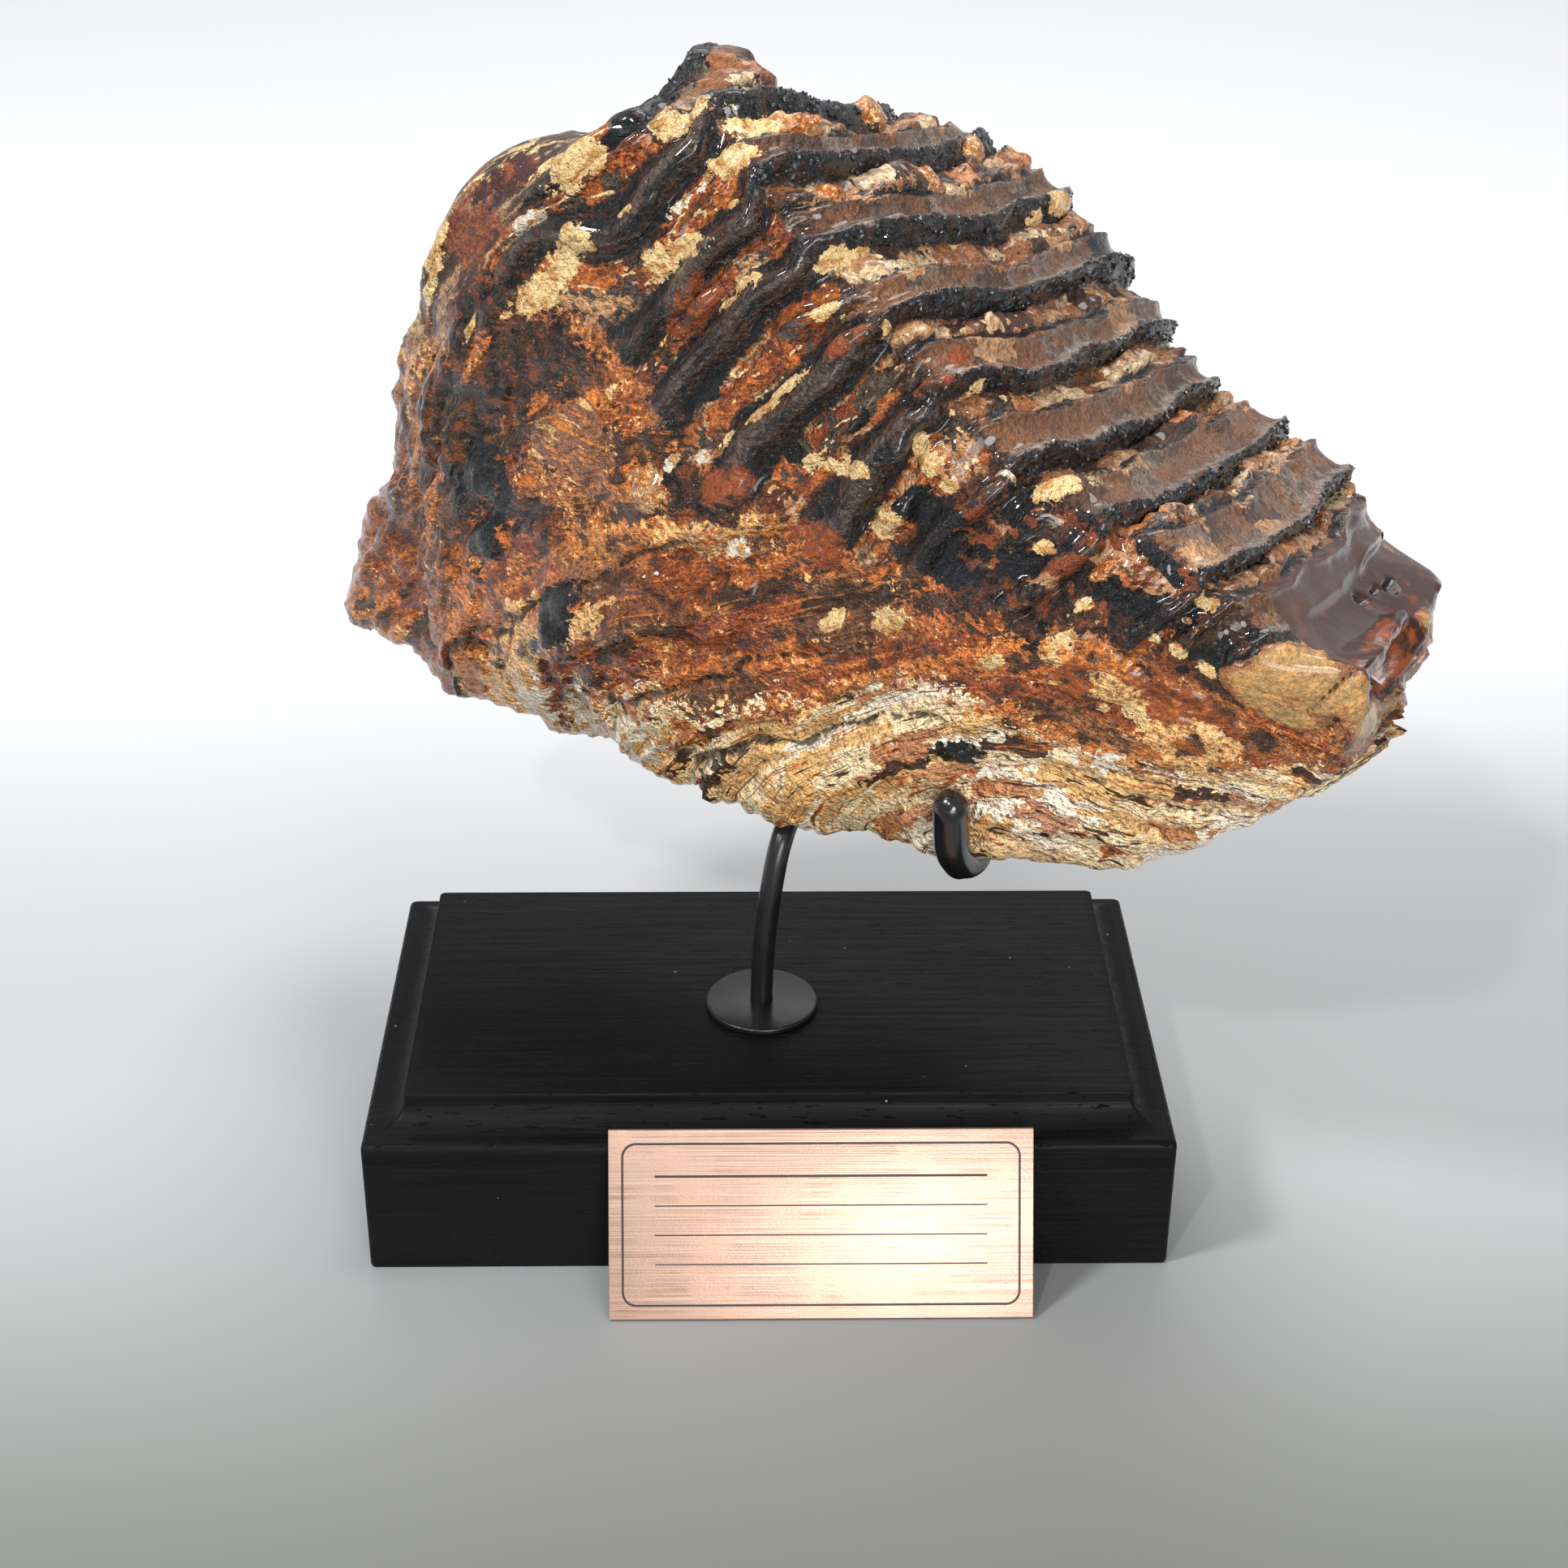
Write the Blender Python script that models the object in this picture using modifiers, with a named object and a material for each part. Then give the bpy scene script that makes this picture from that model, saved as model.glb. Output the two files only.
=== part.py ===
"""Fossil mammoth molar on a black display stand, with a small bare name plate.

The origin is the middle of the plinth's underside, +Z is up and the tooth's ribbed flank faces -Y.
The tooth is one grown piece. It stands in a cradle of bent black rod, brazed to a stem that drops
through a round flange into the moulded wooden plinth.
"""

import itertools
import math

import bmesh
import bpy
import numpy as np
from mathutils import Vector
from mathutils.bvhtree import BVHTree

MM = 0.001
TOUCH_GAP = 0.3 * MM

# Plinth: a block with a nosing, a cove and a raised flat top, mitred at the corners
PLINTH_WIDTH = 133 * MM
PLINTH_DEPTH = 76 * MM
FACE_HEIGHT = 23.9 * MM
NOSING_RADIUS = 1.2 * MM
COVE_WIDTH = 5.4 * MM
COVE_HEIGHT = 4.2 * MM
PANEL_LIP = 1.1 * MM
PANEL_ROUND = 0.25 * MM
PLINTH_HEIGHT = FACE_HEIGHT + NOSING_RADIUS + COVE_HEIGHT + PANEL_LIP + PANEL_ROUND
SOCKET_DEPTH = 19 * MM

# Flange, rods and the sleeves on the tips that hold the tooth
FLANGE_RADIUS = 9.55 * MM
FLANGE_THICKNESS = 0.9 * MM
ROD_RADIUS = 1.9 * MM
ROD_POINT_SPACING = 4 * MM
SLEEVE_RADIUS = 2.85 * MM
SLEEVE_WALL = 0.6 * MM
SLEEVE_SIDES = 12
FRONT_SLEEVE_LENGTH = 17 * MM
REAR_SLEEVE_LENGTH = 15 * MM

# Routes of the rods in millimetres. Where a rod passes the tooth it is bent to lie against it.
STEM_FOOT = (-1.1, -5.6)
STEM_ROUTE = (
    (*STEM_FOOT, 13), (*STEM_FOOT, 34), (-0.4, -5.6, 46), (0.8, -5.5, 56), (2.2, -4, 62.5),
    (4.5, 1, 65.6), (8.5, 6.5, 65.9),
)
CRADLE_ROUTE = (
    (28, -32.5, 87), (28, -31.5, 80), (28.3, -29, 74), (31, -24, 71), (35, -17, 69), (36, -6, 67),
    (34, 8, 66), (31, 20, 68), (29, 30, 80), (31, 36, 94), (32, 38, 102),
)
LEFT_ARM_ROUTE = (
    (34, 10, 66), (21, 5, 66), (10, 5, 66), (-2, 11, 68), (-12, 21, 69), (-16, 31, 70),
    (-14, 38, 75), (-10, 43, 83), (-8, 46, 89),
)

# Name plate: leans back against the nosing with its lower edge on the table
PLATE_WIDTH = 69 * MM
PLATE_HEIGHT = 31 * MM
PLATE_THICKNESS = 1.2 * MM
PLATE_EDGE_ROUND = 0.15 * MM
PLATE_X = 8.3 * MM
PLATE_LEAN = math.radians(27)

# Tooth frame, in millimetres: "along" runs down the chewing face from back to front, "across"
# points through the tooth away from the ribbed flank, and "out" points out of the chewing face
TOOTH_CENTRE = (18, 4, 120)
TOOTH_TURN = math.radians(28)
CHEWING_SLOPE = math.radians(43.3)
TOOTH_DEEPEST_WIDTH = 33

# Each row is one plate number, then along, out and half width of the tooth there.
# Plate numbers run from the round back end to the worn front end.
CROWN_EDGE = (
    (-3, -78, -8, 26), (-2, -73, -1, 24), (-1, -64, 7, 23), (0, -56, 20, 22), (1, -47, 37, 30),
    (2, -35, 42, 34), (4, -8, 45, 35), (5, 4, 44, 35), (6, 17, 43, 34), (8, 42, 52, 32),
    (9, 54, 52, 31), (10, 65, 59, 29),
)
RIB_FOOT = (
    (-3, -71, -24, 26), (-2, -71, -22, 28), (-1, -69, -19, 31), (0, -61, -10, 33), (1, -53, 2, 35),
    (2, -40, 7, 36), (4, -11, 12, 37), (6, 14, 22, 36), (8, 40, 38, 35), (9, 53, 43, 32),
    (10, 67, 51, 26),
)
NECK = (
    (-3, -60, -59, 25), (-2, -55, -56, 23), (-1, -50, -51, 23), (0, -46, -47, 27), (1, -41, -46, 31),
    (2, -34, -42, 32), (4, -9, -29, 34), (6, 20, -12, 33), (8, 44, 12, 31), (9, 60, 25, 28),
    (10, 70, 38, 22),
)
ROOT_EDGE = (
    (-3, -49, -103, 18), (-2, -46, -101, 20), (-1, -42, -100, 22), (0, -34, -96, 22), (1, -21, -91, 22),
    (2, -13, -86, 22), (3, -5, -76, 23), (4, 3, -66, 23), (6, 32, -48, 23), (8, 54, -20, 23),
    (9, 69, -3, 21), (10, 71, 15, 14),
)
# Each row is a plate number, the fall of the chewing face across the tooth, how square its
# corners are, and how far the plates bend back at the ribbed flank
CROWN_FORM = (
    (-3, 0.50, 2.2, 0.3), (-2, 0.55, 2.3, 0.5), (-1, 0.60, 2.5, 0.7), (0, 0.50, 3.0, 0.9),
    (1, 0.24, 4.0, 1.0), (2, 0.05, 5.0, 1.0), (3, 0, 5.5, 1.0), (5, 0, 5.5, 1.0),
    (6, 0, 5.5, 0.78), (8, 0.05, 5.5, 0.55), (9, 0.10, 5.0, 0.4), (10, 0.17, 5.0, 0.0),
)
# Each row is a plate number and how far the ribs of the flank lie behind the plates, in plates
RIB_LAG = ((-3, 0), (0, 0.25), (1, 0.38), (2, 0.40), (2.5, 0.35), (3.2, 0.05), (4.2, 0.10), (10, 0.05))
# Each row is a plate number and the share of a plate that its cliff and trough take up
TROUGH_SHARE = ((-3, 0.53), (5, 0.53), (6.4, 0.38), (10, 0.38))
EVEN_SHARE = 0.53
ROOT_SQUARENESS = 3.0
GUIDE_PLACES = (0, 0.33, 0.66, 1)
PLATE_BEND = 10.5
FAR_BEND = 4.5
ROUNDED_BACK = 2.5
CHEWING_RELIEF = 3.6
RIB_RELIEF = 2.8
WORN_END = 9.1
ROOT_HOLLOW = 9.0
BROKEN_STEP = 4.5
BACK_ROUND = 1.5
FRONT_ROUND = 3.0

# Where the rings of the tooth lie within one plate, and how many points each side of a ring has
RING_PLACES = (0, 0.07, 0.17, 0.36, 0.53, 0.62, 0.78, 0.93)
BACK_PLATE = -2.95
BACK_RINGS = 9
FRONT_RINGS = 6
FLANK_POINTS = 12
CHEWING_POINTS = 8
HIDDEN_POINTS = 8
UNDERSIDE_POINTS = 7


def clear_scene():
    for old in list(bpy.data.objects):
        bpy.data.objects.remove(old, do_unlink=True)


def make_collection(name):
    made = bpy.data.collections.new(name)
    bpy.context.scene.collection.children.link(made)
    return made


def make_material(name, colour, roughness, metallic=0.0):
    made = bpy.data.materials.new(name)
    made.use_nodes = True
    shader = made.node_tree.nodes["Principled BSDF"]
    shader.inputs["Base Color"].default_value = (*colour, 1)
    shader.inputs["Roughness"].default_value = roughness
    shader.inputs["Metallic"].default_value = metallic
    made.diffuse_color = (*colour, 1)
    return made


def object_from_bmesh(form, name, collection, material, smooth_angle=None):
    mesh = bpy.data.meshes.new(name)
    bmesh.ops.recalc_face_normals(form, faces=form.faces)
    form.to_mesh(mesh)
    form.free()
    made = bpy.data.objects.new(name, mesh)
    collection.objects.link(made)
    mesh.materials.append(material)
    if smooth_angle is not None:
        mesh.shade_smooth()
        mesh.set_sharp_from_angle(angle=smooth_angle)
    return made


def bevel_edges(form, edges, width, segments):
    bmesh.ops.bevel(form, geom=edges, offset=width, segments=segments, profile=0.5, affect="EDGES")


# --- plinth -------------------------------------------------------------------------------------


def plinth_steps():
    """Steps inwards and upwards from the top of the upright faces to the rim of the flat top."""
    quarter = [math.radians(angle) for angle in (30, 60, 90)]
    steps = []
    before = (0.0, 0.0)
    for angle in quarter:
        here = (NOSING_RADIUS * (1 - math.cos(angle)), NOSING_RADIUS * math.sin(angle))
        steps.append((here[0] - before[0], here[1] - before[1]))
        before = here
    before = (0.0, 0.0)
    for angle in [math.radians(angle) for angle in (18, 36, 54, 72, 90)]:
        here = (COVE_WIDTH * math.sin(angle), COVE_HEIGHT * (1 - math.cos(angle)))
        steps.append((here[0] - before[0], here[1] - before[1]))
        before = here
    steps.append((0.01 * MM, PANEL_LIP))
    steps.append((PANEL_ROUND, PANEL_ROUND))
    return steps


def build_plinth(parts, cutters, material):
    form = bmesh.new()
    bmesh.ops.create_cube(form, size=1.0)
    bmesh.ops.scale(form, vec=(PLINTH_WIDTH, PLINTH_DEPTH, FACE_HEIGHT), verts=form.verts)
    bmesh.ops.translate(form, vec=(0, 0, FACE_HEIGHT / 2), verts=form.verts)
    top = max(form.faces, key=lambda face: face.calc_center_median().z)
    for inwards, upwards in plinth_steps():
        bmesh.ops.inset_region(form, faces=[top], thickness=inwards, use_even_offset=True)
        bmesh.ops.translate(form, vec=(0, 0, upwards), verts=top.verts)
    plinth = object_from_bmesh(form, "plinth", parts, material, math.radians(35))
    cut_socket(plinth, cutters)
    return plinth


def cut_socket(plinth, cutters):
    """The blind hole that the stem drops into."""
    form = bmesh.new()
    depth = SOCKET_DEPTH + 2 * MM
    radius = ROD_RADIUS + TOUCH_GAP
    bmesh.ops.create_cone(
        form, cap_ends=True, segments=24, radius1=radius, radius2=radius, depth=depth
    )
    middle = PLINTH_HEIGHT - SOCKET_DEPTH + depth / 2
    foot_x, foot_y = (value * MM for value in STEM_FOOT)
    bmesh.ops.translate(form, vec=(foot_x, foot_y, middle), verts=form.verts)
    mesh = bpy.data.meshes.new("stem_socket_cutter")
    form.to_mesh(mesh)
    form.free()
    cutter = bpy.data.objects.new("stem_socket_cutter", mesh)
    cutter.hide_render = True
    cutter.display_type = "WIRE"
    cutters.objects.link(cutter)
    cut = plinth.modifiers.new("stem_socket", "BOOLEAN")
    cut.operation = "DIFFERENCE"
    cut.solver = "EXACT"
    cut.object = cutter


# --- flange and rods ------------------------------------------------------------------------------


def lathe(profile, name, collection, material, centre, steps=40):
    """A turned piece: the profile's points are (radius, height) and it closes on itself."""
    form = bmesh.new()
    points = [form.verts.new((radius, 0, height)) for radius, height in profile]
    edges = [form.edges.new((a, b)) for a, b in zip(points, points[1:] + points[:1])]
    bmesh.ops.spin(
        form,
        geom=points + edges,
        cent=(0, 0, 0),
        axis=(0, 0, 1),
        angle=math.tau,
        steps=steps,
        use_merge=True,
    )
    bmesh.ops.translate(form, vec=centre, verts=form.verts)
    return object_from_bmesh(form, name, collection, material, math.radians(40))


def build_flange(parts, material):
    inner = ROD_RADIUS + TOUCH_GAP
    outer = FLANGE_RADIUS
    chamfer = 0.2 * MM
    profile = (
        (inner, 0),
        (inner, FLANGE_THICKNESS),
        (outer - chamfer, FLANGE_THICKNESS),
        (outer, FLANGE_THICKNESS - chamfer),
        (outer, 0),
    )
    bottom = PLINTH_HEIGHT + TOUCH_GAP
    foot_x, foot_y = (value * MM for value in STEM_FOOT)
    return lathe(profile, "flange", parts, material, (foot_x, foot_y, bottom))


def smooth_path(route):
    """A Catmull-Rom curve through the route's points, in metres, at an even spacing."""
    knots = [Vector(point) * MM for point in route]
    knots = [2 * knots[0] - knots[1]] + knots + [2 * knots[-1] - knots[-2]]
    path = []
    for before, start, end, after in zip(knots, knots[1:], knots[2:], knots[3:]):
        count = max(1, round((end - start).length / ROD_POINT_SPACING))
        for step in range(count):
            t = step / count
            bend = 2 * before - 5 * start + 4 * end - after
            twist = 3 * start - before - 3 * end + after
            path.append(0.5 * (2 * start + (end - before) * t + bend * t**2 + twist * t**3))
    path.append(knots[-2])
    return path


def keep_clear(surface, path, clear):
    for index, point in enumerate(path):
        place, normal, _, _ = surface.find_nearest(point)
        height = (point - place).dot(normal)
        if height < clear:
            path[index] = point + normal * (clear - height)


def lie_against(surface, path, radius):
    """Bends a path so that a rod of the given radius lies just clear of the tooth."""
    clear = radius + TOUCH_GAP
    for _ in range(4):
        keep_clear(surface, path, clear)
        eased = [(a + 2 * b + c) / 4 for a, b, c in zip(path, path[1:], path[2:])]
        path = [path[0], *eased, path[-1]]
    keep_clear(surface, path, clear)
    return path


def bent_rod(path, name, collection, material):
    curve = bpy.data.curves.new(name, "CURVE")
    curve.dimensions = "3D"
    curve.bevel_depth = ROD_RADIUS
    curve.bevel_resolution = 2
    curve.use_fill_caps = True
    spline = curve.splines.new("POLY")
    spline.points.add(len(path) - 1)
    for place, point in zip(spline.points, path):
        place.co = (*point, 1)
    line = bpy.data.objects.new(name + "_line", curve)
    collection.objects.link(line)
    bpy.context.view_layer.update()
    evaluated = line.evaluated_get(bpy.context.evaluated_depsgraph_get())
    mesh = bpy.data.meshes.new_from_object(evaluated)
    form = bmesh.new()
    form.from_mesh(mesh)
    bpy.data.objects.remove(line, do_unlink=True)
    bmesh.ops.remove_doubles(form, verts=form.verts, dist=0.01 * MM)
    return object_from_bmesh(form, name, collection, material, math.radians(50))


def build_support_rod(stem, cradle, left_arm, parts, cutters, material):
    """The stem and the two bent rods brazed to it, as one piece."""
    support = bent_rod(stem, "support_rod", parts, material)
    for name, path in (("cradle_to_join", cradle), ("left_arm_to_join", left_arm)):
        joined = bent_rod(path, name, cutters, material)
        joined.hide_render = True
        joined.display_type = "WIRE"
        union = support.modifiers.new(name, "BOOLEAN")
        union.operation = "UNION"
        union.solver = "EXACT"
        union.object = joined
    return support


def path_from_end(path, length):
    """The first stretch of a path, as long as given."""
    stretch = [path[0]]
    for start, end in zip(path, path[1:]):
        room = length - sum((b - a).length for a, b in zip(stretch, stretch[1:]))
        if (end - start).length >= room:
            stretch.append(start + (end - start).normalized() * room)
            break
        stretch.append(end)
    return stretch


def build_sleeve(path, length, name, parts, material):
    """A soft sleeve drawn over a rod's end, open at its mouth and domed over the tip."""
    stretch = path_from_end(path, length)
    outward = (stretch[0] - stretch[1]).normalized()
    cap = SLEEVE_RADIUS + TOUCH_GAP
    centres = [point for point in stretch[::-1]]
    radii = [SLEEVE_RADIUS] * len(centres)
    for angle in (30, 60):
        turn = math.radians(angle)
        centres.append(stretch[0] + outward * cap * math.sin(turn))
        radii.append(SLEEVE_RADIUS * math.cos(turn))
    form = bmesh.new()
    side = (centres[1] - centres[0]).orthogonal().normalized()
    rings = []
    for index, (centre, radius) in enumerate(zip(centres, radii)):
        ahead = centres[min(index + 1, len(centres) - 1)]
        tangent = (ahead - centres[max(index - 1, 0)]).normalized()
        side = (side - tangent * side.dot(tangent)).normalized()
        across = tangent.cross(side)
        ring = []
        for step in range(SLEEVE_SIDES):
            turn = math.tau * step / SLEEVE_SIDES
            offset = side * math.cos(turn) + across * math.sin(turn)
            ring.append(form.verts.new(centre + offset * radius))
        rings.append(ring)
    for below, above in zip(rings, rings[1:]):
        for step in range(SLEEVE_SIDES):
            after = (step + 1) % SLEEVE_SIDES
            form.faces.new((below[step], below[after], above[after], above[step]))
    tip = form.verts.new(stretch[0] + outward * cap)
    for step in range(SLEEVE_SIDES):
        form.faces.new((rings[-1][step], rings[-1][(step + 1) % SLEEVE_SIDES], tip))
    sleeve = object_from_bmesh(form, name, parts, material, math.radians(50))
    wall = sleeve.modifiers.new("wall", "SOLIDIFY")
    wall.thickness = SLEEVE_WALL
    wall.offset = -1
    return sleeve


# --- tooth ----------------------------------------------------------------------------------------


def read_curve(rows, plate, column):
    """A smooth curve through one column of a table whose first column is the plate number."""
    table = np.array(rows, float)
    places = table[:, 0]
    values = table[:, column]
    slopes = np.gradient(values, places)
    plate = np.clip(plate, places[0], places[-1])
    row = np.clip(np.searchsorted(places, plate) - 1, 0, len(places) - 2)
    step = places[row + 1] - places[row]
    t = (plate - places[row]) / step
    start = (1 + 2 * t) * (1 - t) ** 2 * values[row] + t * (1 - t) ** 2 * step * slopes[row]
    end = t * t * (3 - 2 * t) * values[row + 1] + t * t * (t - 1) * step * slopes[row + 1]
    return start + end


def between_guides(plate, depth, column):
    """A value between the crown edge (depth 0) and the root edge (depth 1)."""
    total = 0
    for guide, place in zip((CROWN_EDGE, RIB_FOOT, NECK, ROOT_EDGE), GUIDE_PLACES):
        weight = 1.0
        for other in GUIDE_PLACES:
            if other != place:
                weight = weight * (depth - other) / (place - other)
        total = total + weight * read_curve(guide, plate, column)
    return total


def smooth_step(low, high, value):
    t = np.clip((value - low) / (high - low), 0, 1)
    return t * t * (3 - 2 * t)


def lump_noise(points, size, seed):
    """Smooth noise from -1 to 1, with lumps of about the given size in millimetres."""
    scaled = points / np.asarray(size, float)
    cell = np.floor(scaled).astype(np.int64)
    inside = scaled - cell
    inside = inside * inside * (3 - 2 * inside)
    total = np.zeros(points.shape[:-1])
    for corner in itertools.product((0, 1), repeat=3):
        at = cell + np.array(corner)
        code = at[..., 0] * 73856093 ^ at[..., 1] * 19349663 ^ at[..., 2] * 83492791 ^ seed * 7919
        code = (code ^ (code >> 13)) * 1274126177
        value = ((code ^ (code >> 16)) & 0xFFFF) / 32767.5 - 1
        weight = np.prod(np.where(corner, inside, 1 - inside), axis=-1)
        total += weight * value
    return total


def ring_outline():
    """Points round a square: up the ribbed flank, over the crown, down the far flank, below."""
    flank = np.linspace(-1, 1, FLANK_POINTS, endpoint=False)
    crown = np.linspace(-1, 1, CHEWING_POINTS, endpoint=False)
    hidden = np.linspace(1, -1, HIDDEN_POINTS, endpoint=False)
    underside = np.linspace(1, -1, UNDERSIDE_POINTS, endpoint=False)
    across = np.concatenate([-np.ones_like(flank), crown, np.ones_like(hidden), underside])
    height = np.concatenate([flank, np.ones_like(crown), hidden, -np.ones_like(underside)])
    return across, height


def smooth_tooth(plate, across, height):
    """The tooth before its relief: along, across and out in millimetres, and the depth 0 to 1."""
    squareness = np.where(height > 0, read_curve(CROWN_FORM, plate, 2), ROOT_SQUARENESS)
    size = (np.abs(across) ** squareness + np.abs(height) ** squareness) ** (1 / squareness)
    across = across / size
    depth = (1 - height / size) / 2
    along = between_guides(plate, depth, 1)
    out = between_guides(plate, depth, 2)
    ahead = np.clip((ROUNDED_BACK - 3 - plate) / ROUNDED_BACK, 0, 1)
    width = across * between_guides(plate, depth, 3) * np.sqrt(1 - ahead**2) + 1
    tilt = read_curve(CROWN_FORM, plate, 1) * np.clip(1 - 2 * depth, 0, 1)
    out = out - tilt * width
    bend = np.clip(0.12 - width / TOOTH_DEEPEST_WIDTH, 0, 2) ** 1.3
    bend = PLATE_BEND * bend - FAR_BEND * np.clip(width / TOOTH_DEEPEST_WIDTH, 0, 1) ** 2
    bend = bend * read_curve(CROWN_FORM, plate, 3) * np.clip(1 - depth / 0.9, 0, 1)
    return np.stack([along - bend, width, out], axis=-1), depth


def grid_normals(points):
    """Outward directions on a grid of points whose rings close on themselves."""
    along = np.gradient(points, axis=0)
    around = np.roll(points, -1, axis=1) - np.roll(points, 1, axis=1)
    normal = np.cross(along, around)
    return normal / np.maximum(np.linalg.norm(normal, axis=-1, keepdims=True), 1e-9)


def even_plates(place):
    """Stretches or squeezes each plate so that its trough ends at the same share of it."""
    share = read_curve(TROUGH_SHARE, place, 1)
    within = place % 1
    trough = within * EVEN_SHARE / share
    band = 1 - (1 - within) * (1 - EVEN_SHARE) / (1 - share)
    return np.floor(place) + np.where(within < share, trough, band)


def chewing_profile(place):
    """Height over one plate: a flat band, a cliff in front of it, then a trough of cement."""
    places = (0, 0.05, 0.18, 0.30, 0.46, 0.56, 0.64, 0.80, 0.95, 1)
    heights = (1, 0.88, 0.02, 0.05, 0.20, 0.35, 0.92, 0.80, 0.98, 1)
    return np.interp(place % 1, places, heights)


def rib_profile(place):
    """Height over one plate on the flank: a bold enamel rib and a lower rounded cement rib."""
    enamel = np.exp(-(((place + 0.40) % 1 - 0.5) ** 2) / 0.022)
    cement = np.exp(-(((place + 0.90) % 1 - 0.5) ** 2) / 0.014)
    return enamel + 0.55 * cement


def tooth_relief(plate, points, depth):
    """How far the surface stands off the smooth tooth, in millimetres."""
    wobble = 0.16 * lump_noise(points, 17, 1) + 0.06 * lump_noise(points, 7, 2)
    place = even_plates(plate + wobble * (0.35 + smooth_step(0.02, 0.2, depth)))
    place = place - read_curve(RIB_LAG, plate, 1) * smooth_step(0.06, 0.12, depth)
    crown = 1 - smooth_step(0.035, 0.12, depth)
    worn = 1 - smooth_step(WORN_END - 0.25, WORN_END, plate)
    plates = smooth_step(-1.6, -0.1, plate) * worn
    chewing = CHEWING_RELIEF * (chewing_profile(place) - 0.45) * crown
    foot = 0.40 + 0.06 * lump_noise(points, 20, 3)
    ribs = RIB_RELIEF * (rib_profile(place) - 0.5) * (1 - crown)
    ribs = ribs * (1 - smooth_step(foot - 0.12, foot + 0.06, depth))
    root = smooth_step(0.25, 0.5, depth)
    lumps = 2.6 * lump_noise(points, (16, 16, 34), 4) + 1.3 * lump_noise(points, 9, 5)
    lumps = lumps * (0.15 + 0.85 * root)
    return (chewing + ribs) * plates + lumps


def spur(plate, points, depth):
    """The tip of the first plate, which stands up like a finger at the top of the tooth."""
    place = np.exp(-(((plate - 0.20) / 0.30) ** 2) - ((points[..., 1] + 9) / 5.5) ** 2)
    return 14 * place * (1 - smooth_step(0.06, 0.2, depth))


def worn_dish(plate, points, depth):
    """The hollow worn into the front end of the chewing face."""
    reach = ((plate - 9.75) / 0.5) ** 2 + ((points[..., 1] + 4) / 20) ** 2
    return -3.0 * np.exp(-reach) * (1 - smooth_step(0.05, 0.14, depth))


def broken_corner(plate, points, depth):
    """How far the front end is snapped back on the side of the ribbed flank."""
    snapped = 1 - smooth_step(1, 6, points[..., 1])
    return BROKEN_STEP * snapped * smooth_step(9.2, 10, plate) * (1 - smooth_step(0.1, 0.4, depth))


def root_hollow(plate, points, depth):
    """How far the roots are hollowed out from below, between their side walls."""
    between_walls = 1 - smooth_step(8, 17, np.abs(points[..., 1] - 1))
    ends = smooth_step(-2.2, -0.8, plate) * (1 - smooth_step(7.6, 9.2, plate))
    return ROOT_HOLLOW * between_walls * ends * smooth_step(0.72, 0.95, depth)


def closing_rings(ring, push, narrow, lower, seed):
    """Smaller and smaller rings that round off one end of the tooth."""
    middle = ring.mean(axis=0)
    rings = []
    for size in (0.86, 0.6, 0.3):
        scale = np.array((0, 1 - narrow * (1 - size), 1 - lower * (1 - size)))
        inner = middle + (ring - middle) * scale
        inner[:, 0] = ring[:, 0] + push * math.sqrt(1 - size**2)
        inner[:, 0] += 1.2 * (1 - size) * lump_noise(inner, 8, seed)
        rings.append(inner)
    return rings


def ring_place(plate, place):
    """Where a ring at the given share of an even plate lies along the real tooth."""
    share = float(read_curve(TROUGH_SHARE, plate + 0.3, 1))
    if place < EVEN_SHARE:
        return plate + place * share / EVEN_SHARE
    return plate + 1 - (1 - place) * (1 - share) / (1 - EVEN_SHARE)


def tooth_rings():
    """Plate numbers of the rings, closest together where the relief is sharp."""
    back = np.linspace(BACK_PLATE, -1, BACK_RINGS, endpoint=False)
    ribbed = [ring_place(plate, place) for plate in range(-1, 9) for place in RING_PLACES]
    front = np.linspace(9, 10, FRONT_RINGS)
    return np.concatenate([back, ribbed, front])


def tooth_grid():
    """Surface points of the whole tooth, ring by ring, in the tooth's own frame."""
    plate = tooth_rings()[:, None]
    across, height = ring_outline()
    plate, across = np.broadcast_arrays(plate, across[None, :])
    height = np.broadcast_to(height[None, :], plate.shape)
    points, depth = smooth_tooth(plate, across, height)
    normal = grid_normals(points)
    relief = tooth_relief(plate, points, depth)
    ends = smooth_step(-3, -2.6, plate) * (1 - smooth_step(9.85, 10, plate))
    relief = relief * ends + spur(plate, points, depth) + worn_dish(plate, points, depth)
    grid = points + normal * relief[..., None]
    grid[..., 0] -= broken_corner(plate, points, depth)
    grid[..., 2] += root_hollow(plate, points, depth)
    back = closing_rings(grid[0], -BACK_ROUND, 1.0, 0.12, 6)
    front = closing_rings(grid[-1], FRONT_ROUND, 0.95, 0.95, 7)
    return np.concatenate([back[::-1], grid, front])


def tooth_to_world(points):
    """From the tooth's frame in millimetres to metres in the part's frame."""
    level = np.array((math.cos(TOOTH_TURN), -math.sin(TOOTH_TURN), 0))
    across = np.array((math.sin(TOOTH_TURN), math.cos(TOOTH_TURN), 0))
    up = np.array((0, 0, 1))
    along = math.cos(CHEWING_SLOPE) * level - math.sin(CHEWING_SLOPE) * up
    out = math.sin(CHEWING_SLOPE) * level + math.cos(CHEWING_SLOPE) * up
    turned = points[..., :1] * along + points[..., 1:2] * across + points[..., 2:] * out
    return (turned + np.array(TOOTH_CENTRE)) * MM


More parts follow.
